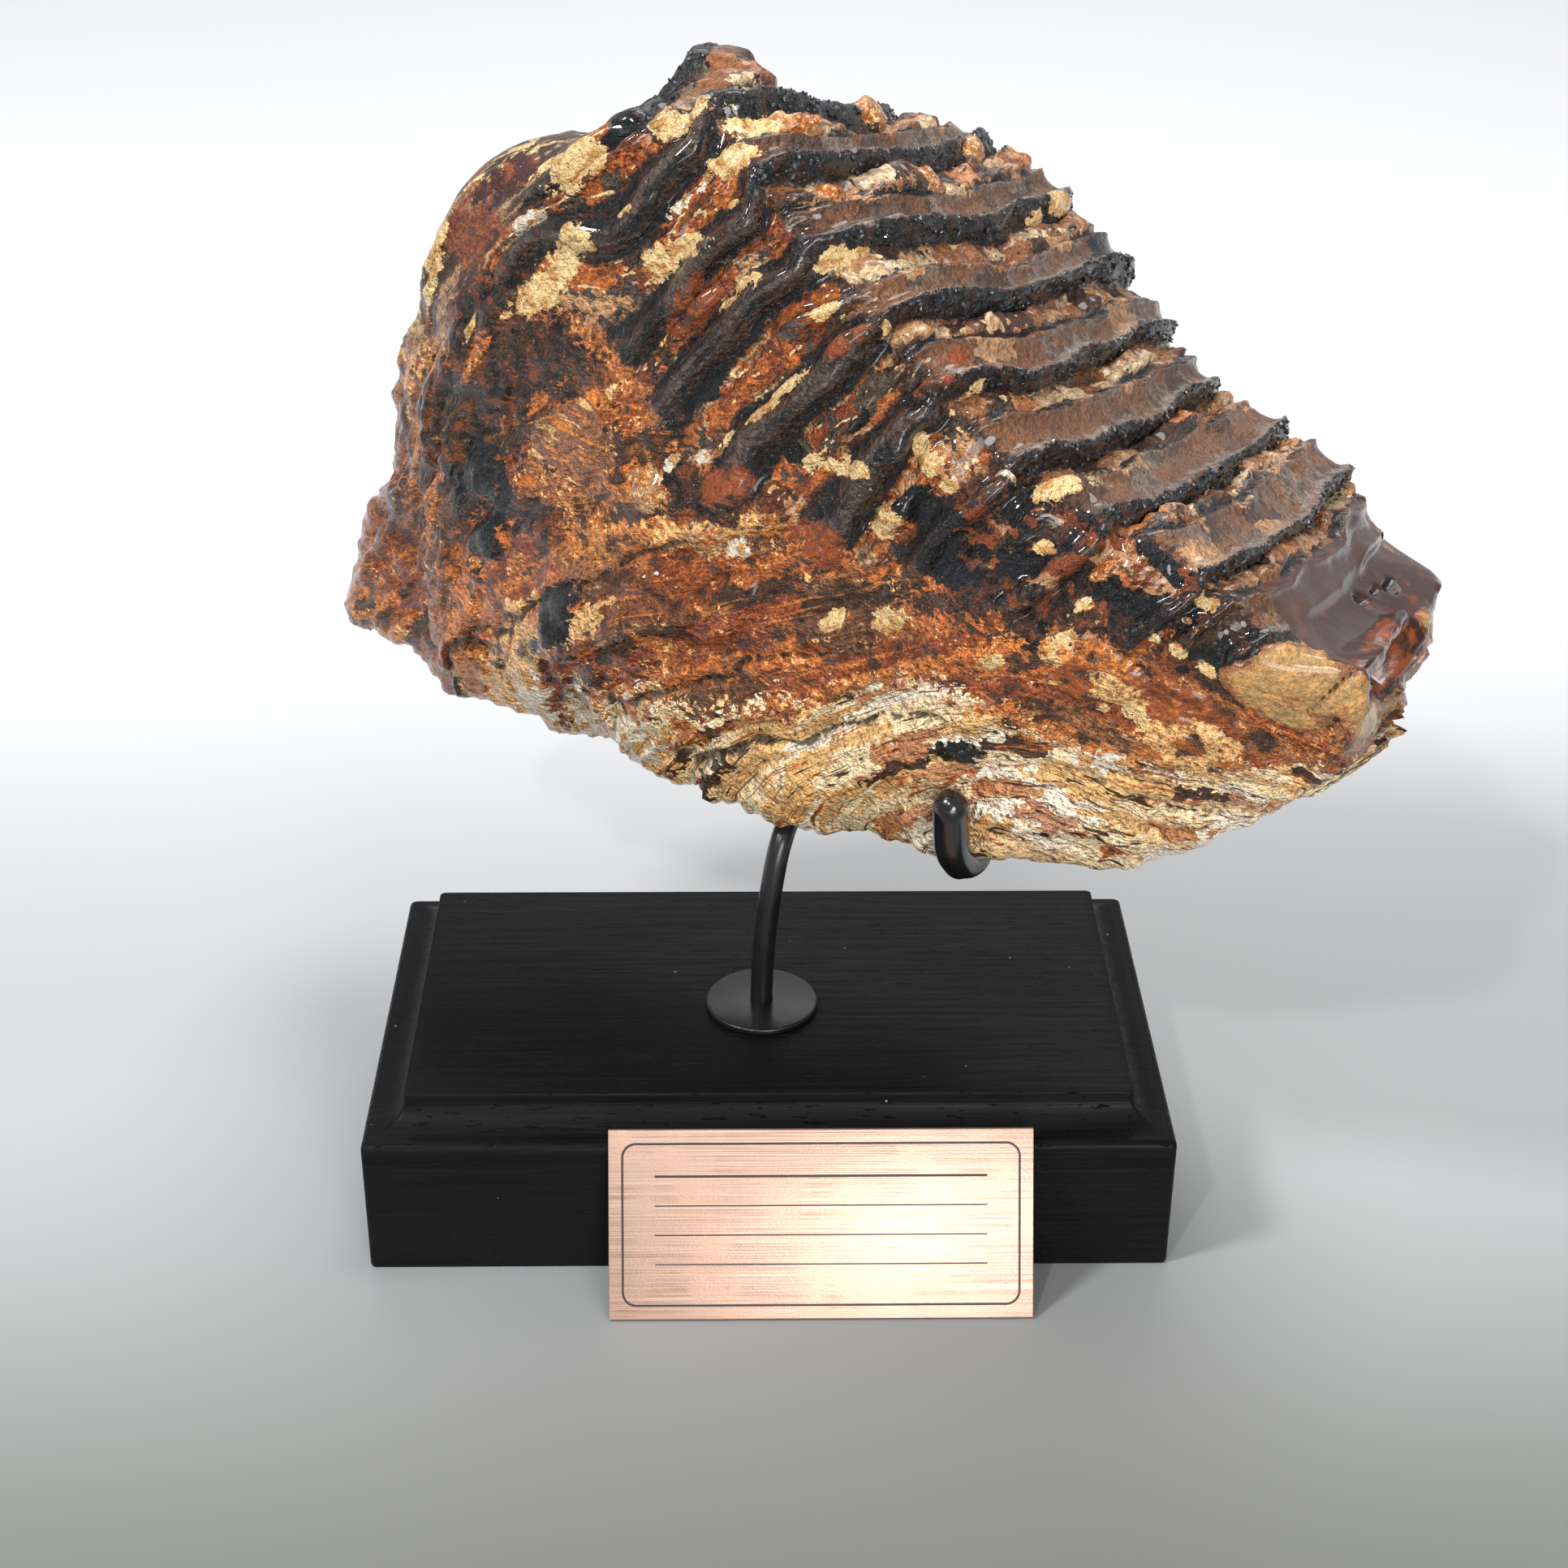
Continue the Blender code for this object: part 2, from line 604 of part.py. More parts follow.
def build_tooth(parts, material):
    grid = tooth_to_world(tooth_grid())
    rings, sides = grid.shape[:2]
    form = bmesh.new()
    verts = [[form.verts.new(point) for point in ring] for ring in grid.tolist()]
    for below, above in zip(verts, verts[1:]):
        for index in range(sides):
            after = (index + 1) % sides
            form.faces.new((below[index], below[after], above[after], above[index]))
    for ring in (verts[0], verts[-1]):
        form.faces.new(ring)
    bmesh.ops.triangulate(form, faces=form.faces)
    bmesh.ops.recalc_face_normals(form, faces=form.faces)
    surface = BVHTree.FromBMesh(form)
    object_from_bmesh(form, "tooth", parts, material, math.radians(60))
    return surface


# --- name plate -----------------------------------------------------------------------------------


def build_name_plate(parts, material):
    form = bmesh.new()
    bmesh.ops.create_cube(form, size=1.0)
    bmesh.ops.scale(form, vec=(PLATE_WIDTH, PLATE_THICKNESS, PLATE_HEIGHT), verts=form.verts)
    bmesh.ops.translate(form, vec=(0, PLATE_THICKNESS / 2, PLATE_HEIGHT / 2), verts=form.verts)
    bevel_edges(form, list(form.edges), PLATE_EDGE_ROUND, 1)
    turn = math.cos(PLATE_LEAN), math.sin(PLATE_LEAN)
    for vert in form.verts:
        depth, height = vert.co.y, vert.co.z
        vert.co.y = depth * turn[0] + height * turn[1]
        vert.co.z = height * turn[0] - depth * turn[1]
    lowest = min(vert.co.z for vert in form.verts)
    rest_y = -PLINTH_DEPTH / 2 - TOUCH_GAP
    lean_height = FACE_HEIGHT + NOSING_RADIUS / 2
    back_y = PLATE_THICKNESS / math.cos(PLATE_LEAN) + (lean_height + lowest) * math.tan(PLATE_LEAN)
    bmesh.ops.translate(form, vec=(PLATE_X, rest_y - back_y, -lowest), verts=form.verts)
    return object_from_bmesh(form, "name_plate", parts, material)


def main():
    clear_scene()
    parts = make_collection("fossil_mammoth_tooth")
    cutters = make_collection("cutters")
    cutters.hide_render = True
    fossil = make_material("fossil_enamel_and_cement", (0.20, 0.10, 0.045), 0.35)
    stained_wood = make_material("black_stained_wood", (0.012, 0.012, 0.014), 0.45)
    black_steel = make_material("black_lacquered_steel", (0.010, 0.010, 0.012), 0.3, 0.2)
    rubber = make_material("black_sleeve", (0.008, 0.008, 0.009), 0.25)
    copper = make_material("brushed_copper", (0.62, 0.36, 0.26), 0.4, 1.0)
    surface = build_tooth(parts, fossil)
    stem = smooth_path(STEM_ROUTE)
    keep_clear(surface, stem, ROD_RADIUS + 2 * TOUCH_GAP)
    cradle = lie_against(surface, smooth_path(CRADLE_ROUTE), SLEEVE_RADIUS)
    left_arm = lie_against(surface, smooth_path(LEFT_ARM_ROUTE), SLEEVE_RADIUS)
    build_plinth(parts, cutters, stained_wood)
    build_flange(parts, black_steel)
    build_support_rod(stem, cradle, left_arm, parts, cutters, black_steel)
    build_sleeve(cradle, FRONT_SLEEVE_LENGTH, "front_hook_sleeve", parts, rubber)
    build_sleeve(cradle[::-1], REAR_SLEEVE_LENGTH, "rear_prong_sleeve", parts, rubber)
    build_sleeve(left_arm[::-1], REAR_SLEEVE_LENGTH, "left_prong_sleeve", parts, rubber)
    build_name_plate(parts, copper)


main()
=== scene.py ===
"""Looks of the fossil mammoth molar on its black display stand.

The tooth's skin repeats the carver's guide curves of the solid at a much finer spacing, and then
takes its enamel ribs, cement columns, crusts and root fibres. Lengths on the tooth are in
millimetres in the tooth's own frame: "along" runs down the chewing face, "across" points away from
the ribbed flank and "out" points out of the chewing face. Everything else is in metres.
"""

import itertools
import math

import bmesh
import bpy
import numpy as np
from mathutils import Matrix, Vector
from mathutils.bvhtree import BVHTree


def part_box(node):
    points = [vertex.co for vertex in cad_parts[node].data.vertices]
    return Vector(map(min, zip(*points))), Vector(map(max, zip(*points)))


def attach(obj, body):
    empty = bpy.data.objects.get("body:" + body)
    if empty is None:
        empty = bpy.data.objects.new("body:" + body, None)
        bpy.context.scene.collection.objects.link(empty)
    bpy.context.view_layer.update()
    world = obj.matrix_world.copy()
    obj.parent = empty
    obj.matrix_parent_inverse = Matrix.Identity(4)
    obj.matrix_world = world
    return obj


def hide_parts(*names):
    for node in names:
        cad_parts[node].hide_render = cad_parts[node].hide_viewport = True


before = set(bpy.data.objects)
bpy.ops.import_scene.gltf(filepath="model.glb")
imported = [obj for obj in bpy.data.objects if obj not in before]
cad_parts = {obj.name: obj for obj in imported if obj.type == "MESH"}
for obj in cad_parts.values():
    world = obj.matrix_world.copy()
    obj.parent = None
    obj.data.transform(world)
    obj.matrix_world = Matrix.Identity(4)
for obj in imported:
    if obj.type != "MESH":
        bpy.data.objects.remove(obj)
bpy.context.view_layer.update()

MM = 0.001
TOUCH_GAP = 0.3 * MM

# Plinth
PLINTH_WIDTH = 133 * MM
PLINTH_DEPTH = 76 * MM
FACE_HEIGHT = 23.9 * MM
NOSING_RADIUS = 1.2 * MM
COVE_WIDTH = 5.4 * MM
COVE_HEIGHT = 4.2 * MM
PANEL_LIP = 1.1 * MM
PANEL_ROUND = 0.25 * MM
PLINTH_HEIGHT = FACE_HEIGHT + NOSING_RADIUS + COVE_HEIGHT + PANEL_LIP + PANEL_ROUND
CORNER_ROUND = 0.9 * MM

# Flange, rods and sleeves
FLANGE_RADIUS = 9.55 * MM
FLANGE_THICKNESS = 0.9 * MM
ROD_RADIUS = 1.9 * MM
ROD_SIDES = 28
PATH_SPACING = 4 * MM
SLEEVE_RADIUS = 2.85 * MM
SLEEVE_SIDES = 32
FRONT_SLEEVE_LENGTH = 17 * MM
REAR_SLEEVE_LENGTH = 15 * MM

# Routes of the rods in millimetres
STEM_FOOT = (-1.1, -5.6)
STEM_ROUTE = (
    (*STEM_FOOT, 13), (*STEM_FOOT, 34), (-0.4, -5.6, 46), (0.8, -5.5, 56), (2.2, -4, 62.5),
    (4.5, 1, 65.6), (8.5, 6.5, 65.9),
)
CRADLE_ROUTE = (
    (28, -32.5, 87), (28, -31.5, 80), (28.3, -29, 74), (31, -24, 71), (35, -17, 69), (36, -6, 67),
    (34, 8, 66), (31, 20, 68), (29, 30, 80), (31, 36, 94), (32, 38, 102),
)
LEFT_ARM_ROUTE = (
    (34, 10, 66), (21, 5, 66), (10, 5, 66), (-2, 11, 68), (-12, 21, 69), (-16, 31, 70),
    (-14, 38, 75), (-10, 43, 83), (-8, 46, 89),
)

# Name plate
PLATE_WIDTH = 69 * MM
PLATE_HEIGHT = 31 * MM
PLATE_THICKNESS = 1.2 * MM
PLATE_X = 8.3 * MM
PLATE_LEAN = math.radians(27)

# Tooth
TOOTH_CENTRE = (18, 4, 120)
TOOTH_TURN = math.radians(28)
CHEWING_SLOPE = math.radians(43.3)
TOOTH_DEEPEST_WIDTH = 33

# Each row is one plate number, then along, out and half width of the tooth there
CROWN_EDGE = (
    (-3, -78, -8, 26), (-2, -73, -1, 24), (-1, -64, 7, 23), (0, -56, 20, 22), (1, -47, 37, 30),
    (2, -35, 42, 34), (4, -8, 45, 35), (5, 4, 44, 35), (6, 17, 43, 34), (8, 42, 52, 32),
    (9, 54, 52, 31), (10, 65, 59, 29),
)
RIB_FOOT = (
    (-3, -71, -24, 26), (-2, -71, -22, 28), (-1, -69, -19, 31), (0, -61, -10, 33), (1, -53, 2, 35),
    (2, -40, 7, 36), (4, -11, 12, 37), (6, 14, 22, 36), (8, 40, 38, 35), (9, 53, 43, 32),
    (10, 67, 51, 26),
)
NECK = (
    (-3, -60, -59, 25), (-2, -55, -56, 23), (-1, -50, -51, 23), (0, -46, -47, 27), (1, -41, -46, 31),
    (2, -34, -42, 32), (4, -9, -29, 34), (6, 20, -12, 33), (8, 44, 12, 31), (9, 60, 25, 28),
    (10, 70, 38, 22),
)
ROOT_EDGE = (
    (-3, -49, -103, 18), (-2, -46, -101, 20), (-1, -42, -100, 22), (0, -34, -96, 22), (1, -21, -91, 22),
    (2, -13, -86, 22), (3, -5, -76, 23), (4, 3, -66, 23), (6, 32, -48, 23), (8, 54, -20, 23),
    (9, 69, -3, 21), (10, 71, 15, 14),
)
# Each row is a plate number, the fall of the chewing face, its squareness and the plates' bend
CROWN_FORM = (
    (-3, 0.50, 2.2, 0.3), (-2, 0.55, 2.3, 0.5), (-1, 0.60, 2.5, 0.7), (0, 0.50, 3.0, 0.9),
    (1, 0.24, 4.0, 1.0), (2, 0.05, 5.0, 1.0), (3, 0, 5.5, 1.0), (5, 0, 5.5, 1.0),
    (6, 0, 5.5, 0.78), (8, 0.05, 5.5, 0.55), (9, 0.10, 5.0, 0.4), (10, 0.17, 5.0, 0.0),
)
# Each row is a plate number and how far the ribs of the flank lie behind the plates, in plates
RIB_LAG = ((-3, 0), (0, 0.25), (1, 0.38), (2, 0.40), (2.5, 0.35), (3.2, 0.05), (4.2, 0.10), (10, 0.05))
# Each row is a plate number and the share of a plate that its cliff and trough take up
TROUGH_SHARE = ((-3, 0.53), (5, 0.53), (6.4, 0.38), (10, 0.38))
EVEN_SHARE = 0.53
ROOT_SQUARENESS = 3.0
GUIDE_PLACES = (0, 0.33, 0.66, 1)
PLATE_BEND = 10.5
FAR_BEND = 4.5
ROUNDED_BACK = 2.5
CHEWING_RELIEF = 3.6
RIB_RELIEF = 3.0
WORN_END = 9.1
ROOT_HOLLOW = 9.0
BROKEN_STEP = 4.5
BACK_ROUND = 1.5
FRONT_ROUND = 3.0
BACK_PLATE = -2.95
PLATE_SPACING = 12.7

# Rings of the skin within one plate, and points on each side of a ring
RING_SPANS = ((0, 8), (0.18, 10), (0.52, 6), (0.66, 5), (0.92, 3), (1, 0))
BACK_RINGS = 34
FRONT_RINGS = 26
END_SIZES = (0.985, 0.95, 0.90, 0.82, 0.72, 0.60, 0.46, 0.32, 0.18, 0.06)
FLANK_POINTS = 94
CHEWING_POINTS = 88
HIDDEN_POINTS = 44
UNDERSIDE_POINTS = 22

# Crusts and stains. Each row is the plate number at its middle, the place round the tooth (0 is the
# middle of the chewing face, below zero goes down the ribbed flank), and its half sizes in both.
CREAM = (
    (0.83, -55, 0.28, 4), (0.40, -50, 0.34, 3.5), (1.09, -39, 0.15, 6), (1.44, -29, 0.20, 6.5),
    (1.78, -38, 0.14, 5), (1.32, -70, 0.22, 3.5), (1.41, -66, 0.20, 3), (0.64, -76, 0.10, 1.6),
    (2.23, -54, 0.14, 3.2), (2.15, -58, 0.18, 2.2), (1.63, -57, 0.05, 1), (2.93, -51, 0.07, 3),
    (2.96, -55, 0.05, 2), (3.20, -36, 0.10, 4.5), (3.21, -30, 0.06, 3), (3.30, -27, 0.06, 1.2),
    (3.64, -45, 0.06, 2.4), (4.00, -59, 0.07, 4.5), (3.98, -63, 0.05, 3), (3.90, -69, 0.06, 1.2),
    (4.15, -38, 0.08, 1.8), (5.42, -49, 0.09, 2), (5.66, -51, 0.11, 2.6), (5.87, -52, 0.11, 2),
    (5.08, -62, 0.20, 2), (4.74, -65, 0.10, 1.5), (2.67, -75, 0.10, 1.6), (5.69, -66, 0.14, 3.4),
    (6.49, -37, 0.12, 5), (6.93, -55, 0.09, 2.4), (8.33, -42, 0.10, 3), (8.53, -62, 0.10, 1.5),
    (8.30, -63, 0.10, 1.1), (7.59, -64, 0.05, 2.5), (7.64, -74, 0.14, 4), (5.76, -84, 0.08, 2),
    (5.14, -29, 0.05, 1.5), (5.32, -38, 0.05, 1.4), (8.29, -82, 0.07, 1.3), (8.53, -80, 0.12, 1.6),
    (4.61, -72, 0.05, 1), (2.21, -43, 0.06, 1.8), (3.15, 22, 0.10, 4), (3.20, 14, 0.08, 3),
    (-0.95, -62, 0.22, 6), (-0.70, -68, 0.16, 4), (6.25, -80, 0.16, 2), (7.3, -82, 0.10, 1.8),
    (8.9, -62, 0.12, 2),
)
WHITE = (
    (0.63, -63, 0.22, 1.4), (1.89, -48, 0.09, 3.5), (3.61, -77, 0.06, 1.4), (3.82, -74, 0.06, 1),
    (6.17, -42, 0.08, 1.2), (4.67, -82, 0.10, 1.6), (8.41, -52, 0.05, 1.2), (8.41, -94, 0.20, 1.6),
    (8.52, -92, 0.18, 1.6), (3.10, -109, 0.30, 1.2), (3.74, -110, 0.20, 1.2), (4.47, -110, 0.25, 1.2),
)
ORANGE_STAINS = (
    (0.59, -46, 0.16, 4), (1.44, -65, 0.07, 1.2), (0.90, -80, 0.12, 1.8), (2.67, -98, 0.15, 2.2),
    (7.49, -52, 0.07, 6), (7.64, -64, 0.05, 2.4), (9.40, -84, 0.25, 1.8), (8.77, -87, 0.13, 2),
    (5.04, -108, 0.25, 1.2), (2.31, -104, 0.30, 2), (3.32, -89, 0.12, 2.5), (1.58, -20, 0.13, 3),
    (2.47, -25, 0.14, 3), (6.3, -80, 0.20, 3), (4.4, -100, 0.3, 2),
)
TAN = (
    (3.63, -82, 0.26, 2.6), (4.37, -83, 0.24, 2.2), (5.70, -64, 0.14, 3.5), (1.19, 10, 0.20, 4.5),
    (2.50, -4, 0.18, 3.5), (2.15, 17, 0.14, 4), (1.58, -20, 0.14, 3), (2.47, -25, 0.16, 3),
    (7.49, -52, 0.08, 6),
)
BLACK = (
    (0.80, -44, 0.24, 5), (1.28, -5, 0.22, 5), (1.69, -90, 0.45, 4), (2.11, -96, 0.28, 4.5),
    (3.41, -102, 0.24, 5), (1.43, -108, 0.10, 1.2), (2.17, 28, 0.25, 5), (3.84, 25, 0.20, 5),
    (0.55, -61, 0.16, 1), (6.32, -68, 0.40, 3.3), (7.42, -99, 0.22, 1.6), (6.88, -63, 0.20, 3),
    (4.84, -54, 0.08, 3), (4.52, -65, 0.16, 1.6), (3.38, -65, 0.14, 4), (2.44, -66, 0.20, 3),
    (5.9, -60, 0.3, 4), (6.5, -48, 0.12, 5), (7.9, -58, 0.3, 5),
)
DARK_GRAINY = (
    (1.20, -84, 0.80, 9), (0.70, -74, 0.60, 6), (1.30, -93, 0.70, 4), (7.1, -70, 0.7, 7),
    (1.85, -76, 0.60, 5), (0.0, -84, 0.8, 7), (2.5, -93, 0.5, 3), (3.9, -78, 0.8, 3),
)
EGGS = (
    (2.73, -60, 0.24, 5.5), (4.07, -46, 0.12, 7), (5.00, -39, 0.10, 5), (3.55, -50, 0.14, 6),
    (4.80, -58, 0.14, 5), (5.3, -54, 0.12, 5),
)
RED_GLOSS = (
    (2.73, -60, 0.20, 5), (4.07, -46, 0.10, 6), (5.00, -39, 0.08, 4.5), (4.19, -75, 0.30, 2.8),
    (5.28, -75, 0.34, 3.2), (2.70, -45, 0.09, 4), (4.79, -30, 0.10, 2.5),
)
MAROON = ((-0.25, -50, 0.42, 9),)
FLAKE = ((2.66, -83, 0.50, 4.5),)
OCHRE = (
    (9.42, -47, 0.36, 19), (9.74, -49, 0.30, 15), (9.98, -46, 0.20, 14), (9.28, -59, 0.32, 9),
    (9.60, -62, 0.30, 6),
)
AMBER = ((8.72, -73, 0.46, 6.5), (7.91, -79, 0.20, 3.5), (9.84, -13, 0.20, 11), (9.00, -82, 0.2, 2))
NOTCH = ((9.92, 8, 0.13, 5),)
CAVITIES = ((9.22, 3, 0.11, 2.4), (9.40, 14, 0.12, 3.0), (9.30, 9, 0.05, 3))
# Each row joins two places, given as plate number and place round the tooth, and ends with the
# half width of the line in millimetres
FURROWS = (
    (1.5, -106, 2.9, -104, 0.5), (2.9, -104, 3.6, -95, 0.5), (3.6, -95, 4.2, -85, 0.4),
    (4.2, -110, 4.9, -103, 0.6), (4.9, -103, 5.9, -87, 0.5), (5.1, -111, 5.8, -104, 0.7),
    (5.8, -104, 6.6, -96, 0.6), (6.6, -96, 7.3, -95, 0.5), (9.60, -60, 9.96, -37, 0.3),
    (7.9, -70, 9.0, -73, 0.4),
)
# Each row is a plate number and how far round the tooth its pale bare bone begins
IVORY_EDGE = (
    (-3, -125), (0, -116), (1.5, -112), (3, -111), (4.2, -110), (4.9, -106), (5.5, -101), (6.0, -96),
    (6.5, -91), (7.0, -89), (7.6, -92), (8.4, -92), (9.2, -88), (10, -78),
)
# Each row is a plate number and how far up the tooth a fibre of the roots has climbed there
FIBRE_CLIMB = ((-3, -20), (1, 0), (4, 24), (7, 61), (8, 67), (10, 67))
# Each row is a plate number and the depth at which the worn facet of the front end stops
WORN_EDGE = ((8, 0.01), (8.7, 0.025), (9.05, 0.035), (9.4, 0.055), (9.72, 0.09), (10, 0.13))
WORN_START = 8.42


def srgb(red, green, blue):
    """A colour given as on a paint chart, 0 to 255, in the renderer's linear light."""
    linear = []
    for value in (red, green, blue):
        value /= 255
        linear.append(value / 12.92 if value <= 0.04045 else ((value + 0.055) / 1.055) ** 2.4)
    return (*linear, 1.0)


# --- material building --------------------------------------------------------------------------

FINEST_LUMP = 0.18
GLOSSY_CRUSTS = ("maroon", "amber", "ochre", "red_gloss", "cavity")
FIELD_TRIPLES = (
    ("place", "crown", "plates"), ("flank", "depth", "front"), ("dome", "broken", "fold"),
    ("furrow", "ivory", "worn"), ("ochre", "amber", "black"), ("cavity", "cream", "flake"),
    ("grainy", "maroon", "notch"), ("orange", "red_gloss", "tan"), ("white", "rough", "fibrous"),
)
LOT_TURN = (0.6, 0.4, 0.9)
PULL_SIZE = 3.2


class Finish:
    """A procedural finish, laid up in coats of colour, roughness and height in millimetres."""

    def __init__(self, name):
        self.material = bpy.data.materials.new(name)
        self.material.use_nodes = True
        self.tree = self.material.node_tree
        self.shader = self.tree.nodes["Principled BSDF"]

    def put(self, socket, value):
        if isinstance(value, bpy.types.NodeSocket):
            self.tree.links.new(value, socket)
        else:
            socket.default_value = value

    def node(self, kind, sockets=(), **settings):
        made = self.tree.nodes.new(kind)
        for key, value in settings.items():
            setattr(made, key, value)
        for place, value in dict(sockets).items():
            self.put(made.inputs[place], value)
        return made

    def vector_field(self, name):
        return self.node("ShaderNodeAttribute", attribute_name=name).outputs["Vector"]

    def field(self, name):
        """One of the tooth's fields, which its mesh carries three to an attribute."""
        triple = next(names for names in FIELD_TRIPLES if name in names)
        packed = self.vector_field("_".join(triple))
        return self.node("ShaderNodeSeparateXYZ", {0: packed}).outputs[triple.index(name)]

    def place_in_mm(self):
        where = self.node("ShaderNodeTexCoord").outputs["Object"]
        scaled = self.node("ShaderNodeVectorMath", {0: where, 3: 1 / MM}, operation="SCALE")
        return scaled.outputs[0]

    def stretch(self, where, sizes):
        """Coordinates in which a lump of the given sizes in millimetres measures one."""
        scale = tuple(1 / size for size in sizes)
        scaled = self.node("ShaderNodeVectorMath", {0: where, 1: scale}, operation="MULTIPLY")
        return scaled.outputs[0]

    def noise(self, where, size=1.0, detail=3, roughness=0.55, warp=0.0):
        """Noise that halves in size detail times over. Octaves too fine to show are left out, and
        the others keep the weight that they would have with them."""
        shown = min(detail, round(math.log2(max(size, 1.0) / FINEST_LUMP)))
        sockets = {"Vector": where, "Scale": 1 / size, "Detail": shown, "Distortion": warp}
        sockets["Roughness"] = roughness
        value = self.node("ShaderNodeTexNoise", sockets).outputs["Fac"]
        if shown == detail:
            return value
        share = (1 - roughness ** (shown + 1)) / (1 - roughness ** (detail + 1))
        sockets = {0: value, 1: share, 2: 0.5 * (1 - share)}
        return self.node("ShaderNodeMath", sockets, operation="MULTIPLY_ADD").outputs[0]

    def pull_about(self, where):
        """Noise that warped coordinates are pulled about by, and the place turned off its axes."""
        sockets = {"Vector": where, "Scale": 1 / PULL_SIZE, "Detail": 2.0, "Roughness": 0.65}
        pull = self.node("ShaderNodeTexNoise", sockets).outputs["Color"]
        pull = self.node("ShaderNodeVectorMath", {0: pull, 1: (0.5, 0.5, 0.5)}, operation="SUBTRACT")
        self.pull = pull.outputs[0]
        turn = self.node("ShaderNodeVectorRotate", {"Vector": where}, rotation_type="EULER_XYZ")
        turn.inputs["Rotation"].default_value = LOT_TURN
        self.turned = turn.outputs[0]

    def warped(self, where, reach):
        """Coordinates pulled about by noise, so that what follows them has ragged outlines."""
        sockets = {0: self.pull, 1: (reach,) * 3, 2: where}
        return self.node("ShaderNodeVectorMath", sockets, operation="MULTIPLY_ADD").outputs[0]

    def lots(self, where, size):
        """Three chance numbers that stay the same over each ragged patch of about the given size."""
        scaled = self.stretch(where, (size,) * 3)
        block = self.node("ShaderNodeVectorMath", {0: scaled}, operation="FLOOR").outputs[0]
        tint = self.node("ShaderNodeTexWhiteNoise", {"Vector": block}, noise_dimensions="3D")
        return self.node("ShaderNodeSeparateColor", {0: tint.outputs["Color"]}).outputs

    def cells(self, where, size):
        sockets = {"Vector": where, "Scale": 1 / size}
        return self.node("ShaderNodeTexVoronoi", sockets, feature="F1").outputs["Distance"]

    def sum(self, first, second):
        return self.node("ShaderNodeMath", {0: first, 1: second}, operation="ADD").outputs[0]

    def times(self, first, second):
        return self.node("ShaderNodeMath", {0: first, 1: second}, operation="MULTIPLY").outputs[0]

    def fraction(self, value):
        return self.node("ShaderNodeMath", {0: value}, operation="FRACT").outputs[0]

    def moved(self, value, by, share):
        """A value with a share of another added."""
        sockets = {0: by, 1: share, 2: value}
        return self.node("ShaderNodeMath", sockets, operation="MULTIPLY_ADD").outputs[0]

    def rise(self, value, low, high, most=1.0, least=0.0):
        """The least below low and the most above high, or the other way round where low is higher."""
        sockets = {"Value": value, "From Min": low, "From Max": high, "To Min": least, "To Max": most}
        made = self.node("ShaderNodeMapRange", sockets, interpolation_type="SMOOTHSTEP")
        return made.outputs["Result"]

    def between(self, value, low, high, soft):
        up = self.rise(value, low - soft, low + soft)
        return self.times(up, self.rise(value, high + soft, high - soft))

    def mix_numbers(self, below, above, share):
        made = self.node("ShaderNodeMix", {0: share, 2: below, 3: above}, data_type="FLOAT")
        return made.outputs[0]

    def mix_colours(self, below, above, share):
        made = self.node("ShaderNodeMix", {0: share, 6: below, 7: above}, data_type="RGBA")
        return made.outputs[2]

    def shaded(self, colour, value, low, high, dark, bright):
        """A colour dimmed where a value is low and brightened where it is high."""
        factor = self.rise(value, low, high, bright, dark)
        return self.node("ShaderNodeVectorMath", {0: colour, 3: factor}, operation="SCALE").outputs[0]

    def over(self, below, above, share):
        """Lays one coat over another. A coat is (colour, roughness)."""
        return (
            self.mix_colours(below[0], above[0], share),
            self.mix_numbers(below[1], above[1], share),
        )

    def wear(self, coat, height, normal_strength=1.0):
        """Puts the finished coat on the shader, over a height in millimetres."""
        colour, roughness = coat
        self.put(self.shader.inputs["Base Color"], colour)
        self.put(self.shader.inputs["Roughness"], roughness)
        sockets = {"Height": height, "Distance": MM, "Strength": normal_strength}
        bump = self.node("ShaderNodeBump", sockets)
        self.put(self.shader.inputs["Normal"], bump.outputs["Normal"])
        return self.material


# --- tooth: guide curves ------------------------------------------------------------------------


def read_curve(rows, plate, column):
    """A smooth curve through one column of a table whose first column is the plate number."""
    table = np.array(rows, float)
    places = table[:, 0]
    values = table[:, column]
    slopes = np.gradient(values, places)
    plate = np.clip(plate, places[0], places[-1])
    row = np.clip(np.searchsorted(places, plate) - 1, 0, len(places) - 2)
    step = places[row + 1] - places[row]
    t = (plate - places[row]) / step
    start = (1 + 2 * t) * (1 - t) ** 2 * values[row] + t * (1 - t) ** 2 * step * slopes[row]
    end = t * t * (3 - 2 * t) * values[row + 1] + t * t * (t - 1) * step * slopes[row + 1]
    return start + end


def between_guides(plate, depth, column):
    """A value between the crown edge (depth 0) and the root edge (depth 1)."""
    total = 0
    for guide, place in zip((CROWN_EDGE, RIB_FOOT, NECK, ROOT_EDGE), GUIDE_PLACES):
        weight = 1.0
        for other in GUIDE_PLACES:
            if other != place:
                weight = weight * (depth - other) / (place - other)
        total = total + weight * read_curve(guide, plate, column)
    return total


def smooth_step(low, high, value):
    t = np.clip((value - low) / (high - low), 0, 1)
    return t * t * (3 - 2 * t)


def cell_code(cell, seed):
    code = cell[..., 0] * 73856093 ^ cell[..., 1] * 19349663 ^ cell[..., 2] * 83492791 ^ seed * 7919
    code = (code ^ (code >> 13)) * 1274126177
    return code ^ (code >> 16)


